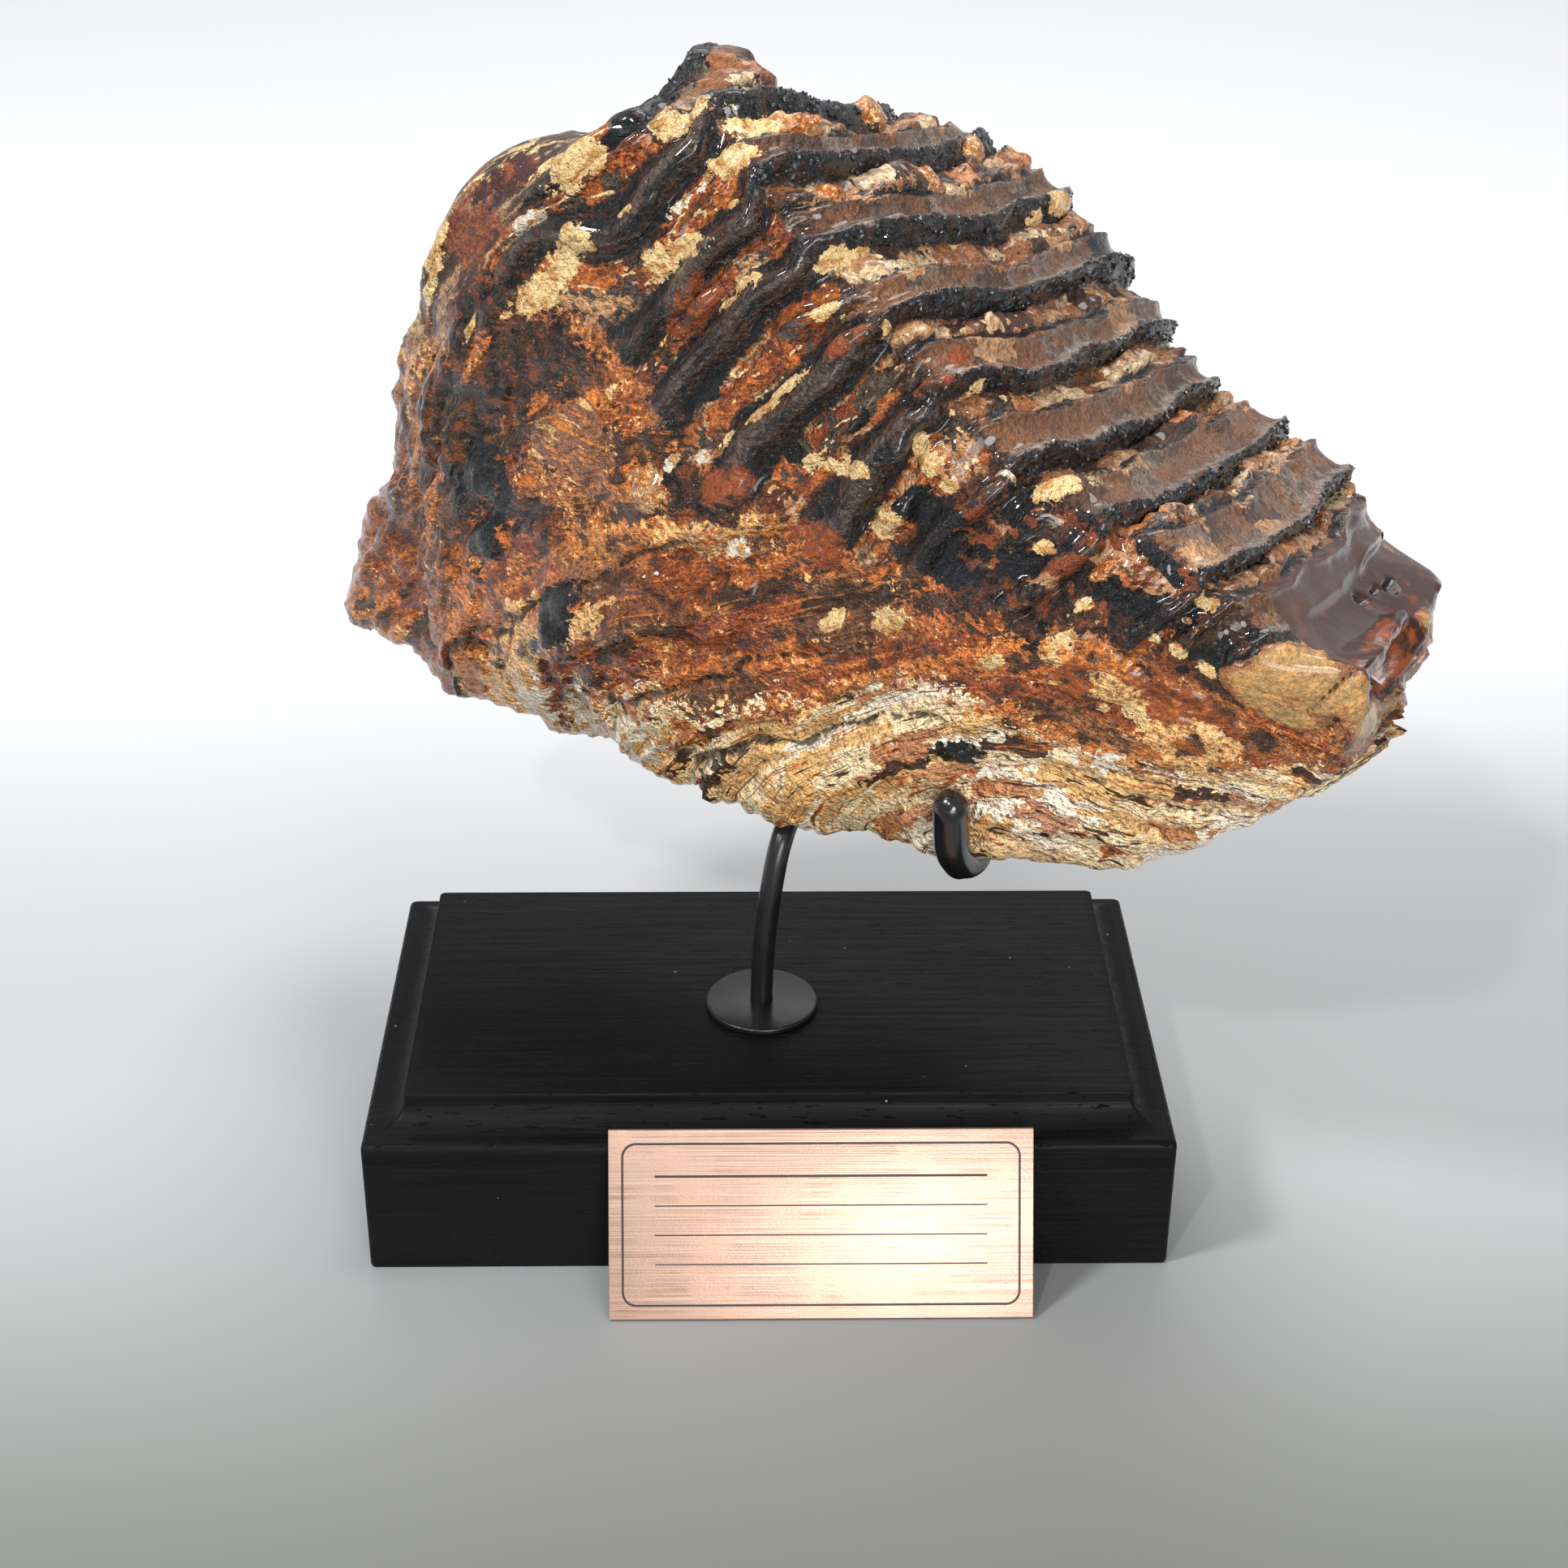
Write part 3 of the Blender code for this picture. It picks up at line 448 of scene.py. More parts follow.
def lump_noise(points, size, seed):
    """Smooth noise from -1 to 1, with lumps of about the given size in millimetres."""
    scaled = points / np.asarray(size, float)
    cell = np.floor(scaled).astype(np.int64)
    inside = scaled - cell
    inside = inside * inside * (3 - 2 * inside)
    total = np.zeros(points.shape[:-1])
    for corner in itertools.product((0, 1), repeat=3):
        value = (cell_code(cell + np.array(corner), seed) & 0xFFFF) / 32767.5 - 1
        weight = np.prod(np.where(corner, inside, 1 - inside), axis=-1)
        total += weight * value
    return total


def rough_noise(points, size, seed, octaves=3):
    """Lumps with smaller lumps on them, from about -1 to 1."""
    size = np.asarray(size, float)
    total = 0
    for octave in range(octaves):
        total = total + 0.5**octave * lump_noise(points, size / 2**octave, seed + octave)
    return total / 1.5


def pebbles(points, size, seed):
    """Rounded grains packed side by side: 1 on top of a grain and about 0 between grains."""
    scaled = points / np.asarray(size, float)
    cell = np.floor(scaled).astype(np.int64)
    nearest = np.full(points.shape[:-1], 9.0)
    for step in itertools.product((-1, 0, 1), repeat=3):
        around = cell + np.array(step)
        code = cell_code(around, seed)
        spread = [((code >> shift) & 0xFF) / 255.0 for shift in (0, 8, 16)]
        gap = around + np.stack(spread, axis=-1) - scaled
        nearest = np.minimum(nearest, (gap**2).sum(axis=-1))
    return 1 - np.clip(nearest, 0, 1.2) / 0.8


def ring_outline():
    """Points round a square: up the ribbed flank, over the crown, down the far flank, below."""
    flank = np.linspace(-1, 1, FLANK_POINTS, endpoint=False)
    crown = np.linspace(-1, 1, CHEWING_POINTS, endpoint=False)
    hidden = np.linspace(1, -1, HIDDEN_POINTS, endpoint=False)
    underside = np.linspace(1, -1, UNDERSIDE_POINTS, endpoint=False)
    across = np.concatenate([-np.ones_like(flank), crown, np.ones_like(hidden), underside])
    height = np.concatenate([flank, np.ones_like(crown), hidden, -np.ones_like(underside)])
    return across, height


def smooth_tooth(plate, across, height):
    """The tooth before its relief: along, across and out in millimetres, and the depth 0 to 1."""
    squareness = np.where(height > 0, read_curve(CROWN_FORM, plate, 2), ROOT_SQUARENESS)
    size = (np.abs(across) ** squareness + np.abs(height) ** squareness) ** (1 / squareness)
    across = across / size
    depth = (1 - height / size) / 2
    along = between_guides(plate, depth, 1)
    out = between_guides(plate, depth, 2)
    ahead = np.clip((ROUNDED_BACK - 3 - plate) / ROUNDED_BACK, 0, 1)
    width = across * between_guides(plate, depth, 3) * np.sqrt(1 - ahead**2) + 1
    tilt = read_curve(CROWN_FORM, plate, 1) * np.clip(1 - 2 * depth, 0, 1)
    out = out - tilt * width
    bend = np.clip(0.12 - width / TOOTH_DEEPEST_WIDTH, 0, 2) ** 1.3
    bend = PLATE_BEND * bend - FAR_BEND * np.clip(width / TOOTH_DEEPEST_WIDTH, 0, 1) ** 2
    bend = bend * read_curve(CROWN_FORM, plate, 3) * np.clip(1 - depth / 0.9, 0, 1)
    return np.stack([along - bend, width, out], axis=-1), depth


def grid_normals(points):
    """Outward directions on a grid of points whose rings close on themselves."""
    along = np.gradient(points, axis=0)
    around = np.roll(points, -1, axis=1) - np.roll(points, 1, axis=1)
    normal = np.cross(along, around)
    return normal / np.maximum(np.linalg.norm(normal, axis=-1, keepdims=True), 1e-9)


# --- tooth: relief ------------------------------------------------------------------------------


def even_plates(place):
    """Stretches or squeezes each plate so that its trough ends at the same share of it."""
    share = read_curve(TROUGH_SHARE, place, 1)
    within = place % 1
    trough = within * EVEN_SHARE / share
    band = 1 - (1 - within) * (1 - EVEN_SHARE) / (1 - share)
    return np.floor(place) + np.where(within < share, trough, band)


def chewing_profile(place):
    """Height over one plate: worn band, enamel cliff, trough of cement, back edge of the next."""
    places = (0, 0.03, 0.07, 0.13, 0.19, 0.26, 0.36, 0.46, 0.52, 0.57, 0.61, 0.67, 0.8, 0.92, 0.97, 1)
    heights = (
        1, 0.96, 0.74, 0.28, 0.05, 0.14, 0.34, 0.50, 0.52, 0.74, 0.98, 0.86, 0.75, 0.83, 1.0, 1,
    )
    return np.interp(place % 1, places, heights)


def rib_profile(place):
    """Height over one plate on the flank: a bold enamel rib and a lower rounded cement rib."""
    enamel = np.exp(-(np.abs((place + 0.40) % 1 - 0.5) ** 2.6) / 0.0065)
    cement = np.exp(-(((place + 0.90) % 1 - 0.5) ** 2) / 0.011)
    return enamel, cement


def past_dome(plate, depth):
    """Plate numbers counted from the smooth dome, which reaches further along on the flank."""
    return plate - 1.3 * smooth_step(0.06, 0.16, depth)


class Skin:
    """The tooth's skin on a grid of rings, with the fields that its relief and finish follow."""

    def __init__(self):
        spans = zip(RING_SPANS, RING_SPANS[1:])
        places = [np.linspace(a, b, count, endpoint=False) for (a, count), (b, _) in spans]
        ribbed = np.concatenate([plate + np.concatenate(places) for plate in range(-1, 9)])
        back = np.linspace(BACK_PLATE, -1, BACK_RINGS, endpoint=False)
        front = np.linspace(9, 10, FRONT_RINGS)
        plate = np.concatenate([back, ribbed, front])[:, None]
        across, height = ring_outline()
        plate, across = np.broadcast_arrays(plate, across[None, :])
        height = np.broadcast_to(height[None, :], plate.shape)
        points, depth = smooth_tooth(plate, across, height)
        normal = grid_normals(points)
        self.plate, self.depth = plate, depth
        self.shape_plates(points)
        relief = self.bold_relief(points)
        ends = smooth_step(-3, -2.6, plate) * (1 - smooth_step(9.85, 10, plate))
        relief = relief * ends + self.spur(points) + self.worn_dish(points)
        grid = points + normal * relief[..., None]
        grid[..., 0] -= self.broken_corner(points)
        grid[..., 2] += self.root_hollow(points)
        self.close_ends(grid)
        self.lay_chart()

    def shape_plates(self, points):
        plate, depth = self.plate, self.depth
        wobble = 0.16 * lump_noise(points, 17, 1) + 0.06 * lump_noise(points, 7, 2)
        place = even_plates(plate + wobble * (0.35 + 0.6 * smooth_step(0.02, 0.2, depth)))
        place -= read_curve(RIB_LAG, plate, 1) * smooth_step(0.06, 0.12, depth)
        place += 0.62 * smooth_step(0.22, 0.36, depth) * (1 - smooth_step(1.2, 2.4, plate))
        self.crown = 1 - smooth_step(0.035, 0.12, depth)
        place += 0.035 * rough_noise(points, 5.0, 11, 2) + 0.016 * lump_noise(points, 1.6, 14)
        self.place = place + 0.10 * lump_noise(points, (9, 8, 9), 15) * self.crown
        worn = smooth_step(WORN_END - 0.25, WORN_END, plate)
        self.plates = smooth_step(-1.2, -0.5, past_dome(plate, depth)) * (1 - worn)
        foot = 0.40 + 0.06 * lump_noise(points, 20, 3)
        self.flank = (1 - self.crown) * (1 - smooth_step(foot - 0.12, foot + 0.06, depth))
        self.root = smooth_step(0.25, 0.5, depth)

    def bold_relief(self, points):
        chewing = CHEWING_RELIEF * (chewing_profile(self.place) - 0.45) * self.crown
        enamel, cement = rib_profile(self.place)
        egg = 0.55 + 0.45 * lump_noise(points, (9, 9, 13), 21)
        ribs = RIB_RELIEF * (enamel + 0.75 * cement * egg - 0.5) * self.flank
        lumps = 2.6 * lump_noise(points, (16, 16, 34), 4) + 1.3 * lump_noise(points, 9, 5)
        lumps = lumps * (0.15 + 0.85 * self.root)
        return (chewing + ribs) * self.plates + lumps

    def spur(self, points):
        """The tip of the first plate, which stands up like a finger at the top of the tooth."""
        place = np.exp(-(((self.plate - 0.20) / 0.30) ** 2) - ((points[..., 1] + 9) / 5.5) ** 2)
        return 14 * place * (1 - smooth_step(0.06, 0.2, self.depth))

    def worn_dish(self, points):
        """The hollow worn into the front end of the chewing face."""
        reach = ((self.plate - 9.75) / 0.5) ** 2 + ((points[..., 1] + 4) / 20) ** 2
        return -3.0 * np.exp(-reach) * (1 - smooth_step(0.05, 0.14, self.depth))

    def broken_corner(self, points):
        """How far the front end is snapped back on the side of the ribbed flank."""
        snapped = 1 - smooth_step(1, 6, points[..., 1])
        shallow = 1 - smooth_step(0.1, 0.4, self.depth)
        return BROKEN_STEP * snapped * smooth_step(9.2, 10, self.plate) * shallow

    def root_hollow(self, points):
        """How far the roots are hollowed out from below, between their side walls."""
        between_walls = 1 - smooth_step(8, 17, np.abs(points[..., 1] - 1))
        ends = smooth_step(-2.2, -0.8, self.plate) * (1 - smooth_step(7.6, 9.2, self.plate))
        return ROOT_HOLLOW * between_walls * ends * smooth_step(0.72, 0.95, self.depth)

    def close_ends(self, grid):
        """Adds the smaller and smaller rings that round off both ends of the tooth."""
        back = closing_rings(grid[0], -BACK_ROUND, 1.0, 0.12, 6)
        front = closing_rings(grid[-1], FRONT_ROUND, 0.95, 0.95, 7)
        self.points = np.concatenate([back[::-1], grid, front])
        count = len(END_SIZES)
        for name in ("plate", "depth", "place", "crown", "plates", "flank", "root"):
            values = getattr(self, name)
            ends = [np.repeat(values[end : end + 1], count, axis=0) for end in (0, len(values) - 1)]
            setattr(self, name, np.concatenate([ends[0], values, ends[1]]))
        past = np.zeros(len(self.points))
        past[-count:] = 1 - np.array(END_SIZES)
        self.broken_end = np.broadcast_to(past[:, None], self.plate.shape)

    def lay_chart(self):
        """Millimetres across the plates, and round the tooth from the chewing face downwards."""
        side = np.where(self.points[..., 1] < 1, -1, 1)
        self.around = self.points[..., 1] + side * 100 * self.depth
        self.chart = np.stack([self.place * PLATE_SPACING, self.around, 0 * self.around], axis=-1)
        self.down = 100 * self.depth + np.abs(self.points[..., 1] - 1)
        climb = read_curve(FIBRE_CLIMB, self.plate, 1)
        step = self.plate * PLATE_SPACING, -self.down - climb, 0.05 * self.points[..., 1]
        self.fibres = np.stack(step, axis=-1)

    def patches(self, rows, torn=0.35, seed=31):
        """How far inside the listed patches each point is: above 0 inside, with torn edges."""
        inside = np.full(self.plate.shape, -1.0)
        for plate, around, half_plate, half_around in rows:
            reach = ((self.plate - plate) / half_plate) ** 2
            reach = reach + ((self.around - around) / half_around) ** 2
            inside = np.maximum(inside, 1 - np.sqrt(reach))
        ragged = rough_noise(self.points, 3.2, seed, 3)
        return inside + torn * ragged * (inside > -0.9)

    def furrows(self):
        """How deep in a furrow each point is, from 0 outside to 1 in the middle."""
        deepest = np.zeros(self.plate.shape)
        across = self.plate * PLATE_SPACING + 1.2 * lump_noise(self.points, 5, 33)
        around = self.around + 1.2 * lump_noise(self.points, 4, 34)
        for plate, start, other_plate, end, half in FURROWS:
            step = (other_plate - plate) * PLATE_SPACING, end - start
            away = across - plate * PLATE_SPACING, around - start
            share = np.clip((away[0] * step[0] + away[1] * step[1]) / math.hypot(*step) ** 2, 0, 1)
            gap = np.hypot(away[0] - share * step[0], away[1] - share * step[1])
            deepest = np.maximum(deepest, 1 - gap / (2 * half))
        return deepest

    def folds(self):
        """Rounded folds of the root with creases between them: 0 in a crease, up to 1 on top."""
        bend = [6 * lump_noise(self.points, 14, seed) for seed in (101, 102)]
        flat = self.fibres + np.stack([bend[0], bend[1], 0 * bend[0]], axis=-1)
        total = 0
        for share, size, seed in ((1.3, (26, 9, 1), 103), (0.6, (12, 4.5, 1), 104), (0.4, (5, 2, 1), 105)):
            total = total + share * np.abs(lump_noise(flat, size, seed))
        return np.clip(total, 0, 1.4) / 1.4

    def bare_bone(self):
        """How far past the edge of the bare bone each point is, in millimetres."""
        edge = read_curve(IVORY_EDGE, self.plate, 1)
        return edge + self.down + 2.5 * rough_noise(self.points, (9, 9, 5), 35, 3)

    def worn_margin(self):
        """How far inside the worn facet of the front end each point is, in millimetres."""
        start = (self.plate - WORN_START) * PLATE_SPACING + 0.7 * lump_noise(self.points, 4, 36)
        side = (read_curve(WORN_EDGE, self.plate, 1) - self.depth) * 100
        return np.clip(np.minimum(start, side), -9, 40)


def closing_rings(ring, push, narrow, lower, seed):
    """Smaller and smaller rings that round off one end of the tooth."""
    middle = ring.mean(axis=0)
    rings = []
    for size in END_SIZES:
        scale = np.array((0, 1 - narrow * (1 - size), 1 - lower * (1 - size)))
        inner = middle + (ring - middle) * scale
        inner[:, 0] = ring[:, 0] + push * math.sqrt(1 - size**2)
        inner[:, 0] += 1.2 * (1 - size) * lump_noise(inner, 8, seed)
        rings.append(inner)
    return np.array(rings)


def fine_relief(skin):
    """The small forms, in millimetres: crystals, cement lumps, root fibres and pits."""
    points, crown, flank = skin.points, skin.crown * skin.plates, skin.flank * skin.plates
    place = skin.place % 1
    cliff = ((place < 0.17) | (place > 0.985)).astype(float)
    back_edge = ((place > 0.52) & (place < 0.60)).astype(float)
    enamel_rib, cement_rib = rib_profile(skin.place)
    crystals = pebbles(points, 1.7, 41)
    height = 0.6 * crystals * (cliff + 0.5 * back_edge) * crown
    height += 0.42 * crystals * enamel_rib * flank
    lumps = pebbles(points + 0.8 * lump_noise(points, 3, 52)[..., None], (5.4, 5.0, 4.2), 49)
    columns = np.abs(np.sin(math.pi * (points[..., 1] / 2.6 + 0.5 * lump_noise(points, 6, 42))))
    cement = smooth_step(0.17, 0.24, place) * (1 - smooth_step(0.46, 0.53, place))
    filling = 1.8 * lump_noise(points, 11, 53) + 0.9 * lump_noise(points, 5, 43)
    crumbs = 1.5 * rough_noise(points, 4.2, 54, 4) + 0.5 * lumps
    height += (crumbs + 0.6 * columns + filling) * cement * crown
    band = smooth_step(0.6, 0.68, place) * (1 - smooth_step(0.9, 0.98, place))
    height += (0.55 * rough_noise(points, 4.5, 44, 4) - 0.3) * band * crown
    height += (0.7 * rough_noise(points, 3.4, 45) + 0.5 * lumps - 0.2) * cement_rib * flank
    fibres = rough_noise(skin.fibres, (9.0, 1.3, 1.0), 46, 3)
    bark = rough_noise(points, 5.0, 47, 4)
    hackle = pebbles(points, (3.2, 2.2, 4.5), 50)
    fibrous = skin.root * (1 - skin.crown)
    height += (0.6 * fibres + 0.8 * bark + 0.5 * hackle + 3.2 * skin.folds() - 0.9) * fibrous
    dome = 1 - smooth_step(-1.2, -0.4, skin.plate)
    height += 0.28 * rough_noise(points, (1.6, 1.6, 12.0), 48, 2) * dome
    return height


def crusts(skin):
    """The named fields that the finish follows, and the height that the crusts add."""
    fields = {
        "cream": skin.patches(CREAM, 0.7, 51),
        "white": skin.patches(WHITE, 0.7, 54),
        "orange": skin.patches(ORANGE_STAINS, 0.6, 55),
        "tan": skin.patches(TAN, 0.4, 57),
        "black": skin.patches(BLACK, 0.7, 60),
        "grainy": skin.patches(DARK_GRAINY, 0.6, 61),
        "red_gloss": skin.patches(RED_GLOSS, 0.35, 63),
        "maroon": skin.patches(MAROON, 0.3, 66),
        "flake": skin.patches(FLAKE, 0.45, 68),
        "ochre": skin.patches(OCHRE, 0.35, 69),
        "amber": skin.patches(AMBER, 0.4, 72),
        "cavity": skin.patches(CAVITIES, 0.8, 73),
        "notch": skin.patches(NOTCH, 0.3, 74),
        "furrow": skin.furrows(),
        "ivory": skin.bare_bone(),
        "worn": skin.worn_margin(),
        "fold": skin.folds(),
    }
    height = 0.35 * smooth_step(0.0, 0.12, fields["cream"])
    height = height + 0.35 * smooth_step(0.0, 0.15, fields["white"])
    height = height + 1.2 * smooth_step(0.0, 0.5, fields["tan"])
    knobs = pebbles(skin.points, 2.6, 81)
    height = height + 0.9 * knobs * smooth_step(0.0, 0.3, fields["black"]) * skin.root
    height = height + 0.6 * pebbles(skin.points, 1.6, 82) * smooth_step(0, 0.3, fields["grainy"])
    height = height + 1.7 * smooth_step(0.0, 0.9, skin.patches(EGGS, 0.0))
    height = height + 1.0 * smooth_step(0.0, 0.5, fields["flake"])
    height = height + 0.9 * smooth_step(0.0, 0.3, fields["ochre"])
    height = height - 1.4 * smooth_step(0.0, 0.6, fields["cavity"])
    height = height - 1.2 * smooth_step(0.2, 0.9, fields["furrow"])
    return fields, height


def break_front_end(skin):
    """The snapped front end: flat broken faces instead of a rounded one."""
    reach = smooth_step(9.8, 10, skin.plate)
    facets = pebbles(skin.points, (14, 9, 7), 91)
    return reach * (1.6 * facets - 1.2 + 0.5 * rough_noise(skin.points, 2.5, 92))


def tooth_to_world(points):
    """From the tooth's frame in millimetres to metres in the part's frame."""
    level = np.array((math.cos(TOOTH_TURN), -math.sin(TOOTH_TURN), 0))
    across = np.array((math.sin(TOOTH_TURN), math.cos(TOOTH_TURN), 0))
    up = np.array((0, 0, 1))
    along = math.cos(CHEWING_SLOPE) * level - math.sin(CHEWING_SLOPE) * up
    out = math.sin(CHEWING_SLOPE) * level + math.cos(CHEWING_SLOPE) * up
    turned = points[..., :1] * along + points[..., 1:2] * across + points[..., 2:] * out
    return (turned + np.array(TOOTH_CENTRE)) * MM


def stay_in_box(points, node):
    low, high = (np.array(corner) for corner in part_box(node))
    return np.clip(points, low, high)


def skin_mesh(name, points):
    """A closed mesh from rings of points."""
    rings, sides = points.shape[:2]
    index = np.arange(rings * sides).reshape(rings, sides)
    after = np.roll(index, -1, axis=1)
    quads = np.stack([index[:-1], index[1:], after[1:], after[:-1]], axis=-1).reshape(-1, 4)
    faces = quads.tolist() + [index[0].tolist(), index[-1][::-1].tolist()]
    mesh = bpy.data.meshes.new(name)
    mesh.from_pydata(points.reshape(-1, 3).tolist(), [], faces)
    form = bmesh.new()
    form.from_mesh(mesh)
    bmesh.ops.triangulate(form, faces=[face for face in form.faces if len(face.verts) > 4])
    bmesh.ops.recalc_face_normals(form, faces=form.faces)
    form.to_mesh(mesh)
    form.free()
    mesh.shade_smooth()
    return mesh


def add_field(mesh, name, values):
    values = np.ascontiguousarray(values, dtype=np.float32)
    if values.ndim == 3:
        mesh.attributes.new(name, "FLOAT_VECTOR", "POINT").data.foreach_set("vector", values.ravel())
    else:
        mesh.attributes.new(name, "FLOAT", "POINT").data.foreach_set("value", values.ravel())


def build_tooth():
    skin = Skin()
    fields, crust_height = crusts(skin)
    calm = smooth_step(0.0, 0.2, np.maximum(fields["ochre"], fields["flake"]))
    calm = np.maximum(calm, smooth_step(0.0, 1.0, fields["worn"]))
    height = fine_relief(skin) * (1 - 0.85 * calm) + crust_height + break_front_end(skin)
    rounded = smooth_step(-3, -2.8, skin.plate)
    points = skin.points + grid_normals(skin.points) * (height * rounded)[..., None]
    world = stay_in_box(tooth_to_world(points), "tooth")
    mesh = skin_mesh("tooth_skin", world)
    fields["place"] = skin.place + 10
    fields["crown"] = skin.crown
    past = past_dome(skin.plate, skin.depth) + 0.2 * lump_noise(skin.points, 6, 95)
    fields["plates"] = smooth_step(-1.25, -0.95, past)
    fields["flank"] = skin.flank
    fields["depth"] = skin.depth
    fields["front"] = smooth_step(5.6, 6.4, skin.plate + 0.3 * lump_noise(skin.points, 6, 96))
    fields["dome"] = 1 - smooth_step(-1.25, -0.95, past)
    fields["broken"] = smooth_step(0.02, 0.2, skin.broken_end)
    fields["chart"] = skin.chart
    fields["fibres"] = skin.fibres
    fields["own"] = skin.points
    cliff = (skin.place % 1 < 0.17) * skin.crown * skin.plates
    enamel, _ = rib_profile(skin.place)
    clean = np.maximum.reduce([fields[name] for name in ("ochre", "cream", "tan", "worn")]) < -0.1
    fields["grit"] = (cliff + 0.06 * (enamel > 0.6) * skin.flank * skin.plates) * clean
    glossy = [smooth_step(0.0, 0.3, fields[name]) for name in GLOSSY_CRUSTS]
    calm = 1 - 0.6 * np.maximum.reduce(glossy)
    calm = calm * (1 - 0.94 * smooth_step(0.0, 0.35, fields["worn"]))
    fields["rough"] = calm * (0.6 + 0.5 * np.clip(skin.root + skin.flank, 0, 1))
    fields["fibrous"] = calm * (1.4 * skin.root + 2.6 * smooth_step(0.0, 3.0, fields["ivory"]))
    for triple in FIELD_TRIPLES:
        add_field(mesh, "_".join(triple), np.stack([fields[name] for name in triple], axis=-1))
    for name in ("chart", "fibres", "own", "grit"):
        add_field(mesh, name, fields[name])
    return make_object("tooth_skin", mesh)


# --- tooth: finish ------------------------------------------------------------------------------

BLUE_BLACK = srgb(26, 27, 30)
# Blue-grey flecks on black enamel and grains: partly the crystals' own grey, partly painted glints.
GREY_BLUE_GLINT = srgb(98, 104, 110)
ENAMEL_BROWN = srgb(88, 72, 62)
BAND_GREY = srgb(134, 112, 98)
BAND_OVAL = srgb(128, 84, 54)
# Pale grey of the cliffs' upper edges: partly the worn enamel's own grey, partly a painted edge highlight.
RIM_GREY_HIGHLIGHT = srgb(150, 140, 130)
CEMENT_TAN = srgb(196, 148, 106)
CEMENT_CREAM = srgb(222, 190, 148)
CEMENT_RUST = srgb(154, 98, 60)
CREAM_CRUST = srgb(248, 212, 150)
CREAM_SHADE = srgb(214, 158, 92)
WHITE_CRUST = srgb(255, 238, 212)
# Near-black: the painted shade in the flank's grooves and hollows, and also the black of dark crusts,
# cement pits and the gaps between splinters.
GROOVE = srgb(17, 13, 12)
CHOCOLATE = srgb(70, 44, 31)
RED_BROWN = srgb(140, 68, 34)
RUST = srgb(190, 104, 46)
ORANGE = srgb(212, 126, 54)
PALE_FIBRE = srgb(240, 188, 122)
IVORY_BONE = srgb(255, 226, 178)
WORN_BROWN = srgb(60, 30, 20)
WORN_GREY = srgb(98, 74, 66)
AMBER_BROWN = srgb(140, 70, 26)
OCHRE_PALE = srgb(178, 140, 88)
MAROON_GLAZE = srgb(64, 28, 20)
FLAKE_BROWN = srgb(146, 96, 68)
TORN = 2.2
CRYSTAL = 1.3
LUMPS_MIDDLE = -1.7
# Noises that several coats share: size in mm, detail and roughness
GRIT = (0.9, 5, 0.75)
FINE = (0.8, 4, 0.70)
GRAIN = (2.5, 4, 0.62)
PATCHY = (3.6, 5, 0.68)
WIDE = (8.0, 4, 0.60)


def chewing_coat(paint, where, place):
    grain = paint.noise(where, *GRAIN)
    fine = paint.noise(where, *FINE)
    wide = paint.noise(where, *WIDE)
    wear = paint.lots(paint.warped(paint.turned, 7.0), 7.0)
    band = paint.mix_colours(BAND_GREY, ENAMEL_BROWN, paint.rise(grain, 0.44, 0.62))
    band = paint.mix_colours(band, BAND_OVAL, paint.rise(wear[0], 0.60, 0.66, 0.9))
    band = paint.mix_colours(band, CHOCOLATE, paint.rise(wear[1], 0.78, 0.84, 0.8))
    band = paint.mix_colours(band, CEMENT_TAN, paint.rise(wear[2], 0.86, 0.90, 0.8))
    band = paint.mix_colours(band, CHOCOLATE, paint.rise(paint.sum(fine, wide), 1.10, 1.18))
    middle = paint.between(place, 0.66, 0.90, 0.05)
    oval = paint.times(middle, paint.rise(wide, 0.46, 0.54, 0.7))
    band = paint.mix_colours(band, BAND_OVAL, oval)
    band = paint.shaded(band, fine, 0.36, 0.62, 0.7, 1.25)
    coat = (band, 0.42)
    lot = paint.lots(paint.warped(paint.turned, 5.0), 5.5)
    cement = paint.mix_colours(CEMENT_TAN, CEMENT_CREAM, paint.rise(lot[0], 0.56, 0.60))
    cement = paint.mix_colours(cement, CEMENT_RUST, paint.rise(lot[1], 0.66, 0.70))
    cement = paint.mix_colours(cement, ORANGE, paint.rise(lot[2], 0.84, 0.87, 0.7))
    cement = paint.mix_colours(cement, CHOCOLATE, paint.rise(lot[2], 0.20, 0.17))
    cement = paint.mix_colours(cement, CEMENT_RUST, paint.rise(grain, 0.52, 0.60, 0.5))
    cement = paint.mix_colours(cement, GROOVE, paint.rise(grain, 0.40, 0.34))
    cement = paint.shaded(cement, fine, 0.36, 0.62, 0.6, 1.3)
    cement_coat = (cement, 0.5)
    creep = paint.moved(place, paint.sum(wide, -0.5), 0.9)
    coat = paint.over(coat, cement_coat, paint.between(creep, 0.17, 0.53, 0.02))
    # Blue-grey flecks on the cliff's crystals: partly painted glints.
    crystal = paint.mix_colours(BLUE_BLACK, GREY_BLUE_GLINT, paint.rise(fine, 0.54, 0.80))
    crystal = paint.mix_colours(crystal, CHOCOLATE, paint.rise(grain, 0.52, 0.60, 0.7))
    enamel_coat = (crystal, 0.24)
    edge = paint.times(paint.between(place, 0.49, 0.59, 0.015), paint.rise(wide, 0.42, 0.50))
    cliff = paint.rise(place, 0.215, 0.17)
    coat = paint.over(coat, enamel_coat, paint.sum(edge, cliff))
    # Light grey line along the upper edge of each cliff: partly the worn enamel edge's own grey, partly a
    # painted edge highlight.
    rim = (RIM_GREY_HIGHLIGHT, 0.4)
    rim_highlight_share = paint.times(paint.between(place, 0.92, 0.985, 0.015), paint.rise(grain, 0.40, 0.52))
    return paint.over(coat, rim, paint.times(rim_highlight_share, 0.8)), enamel_coat


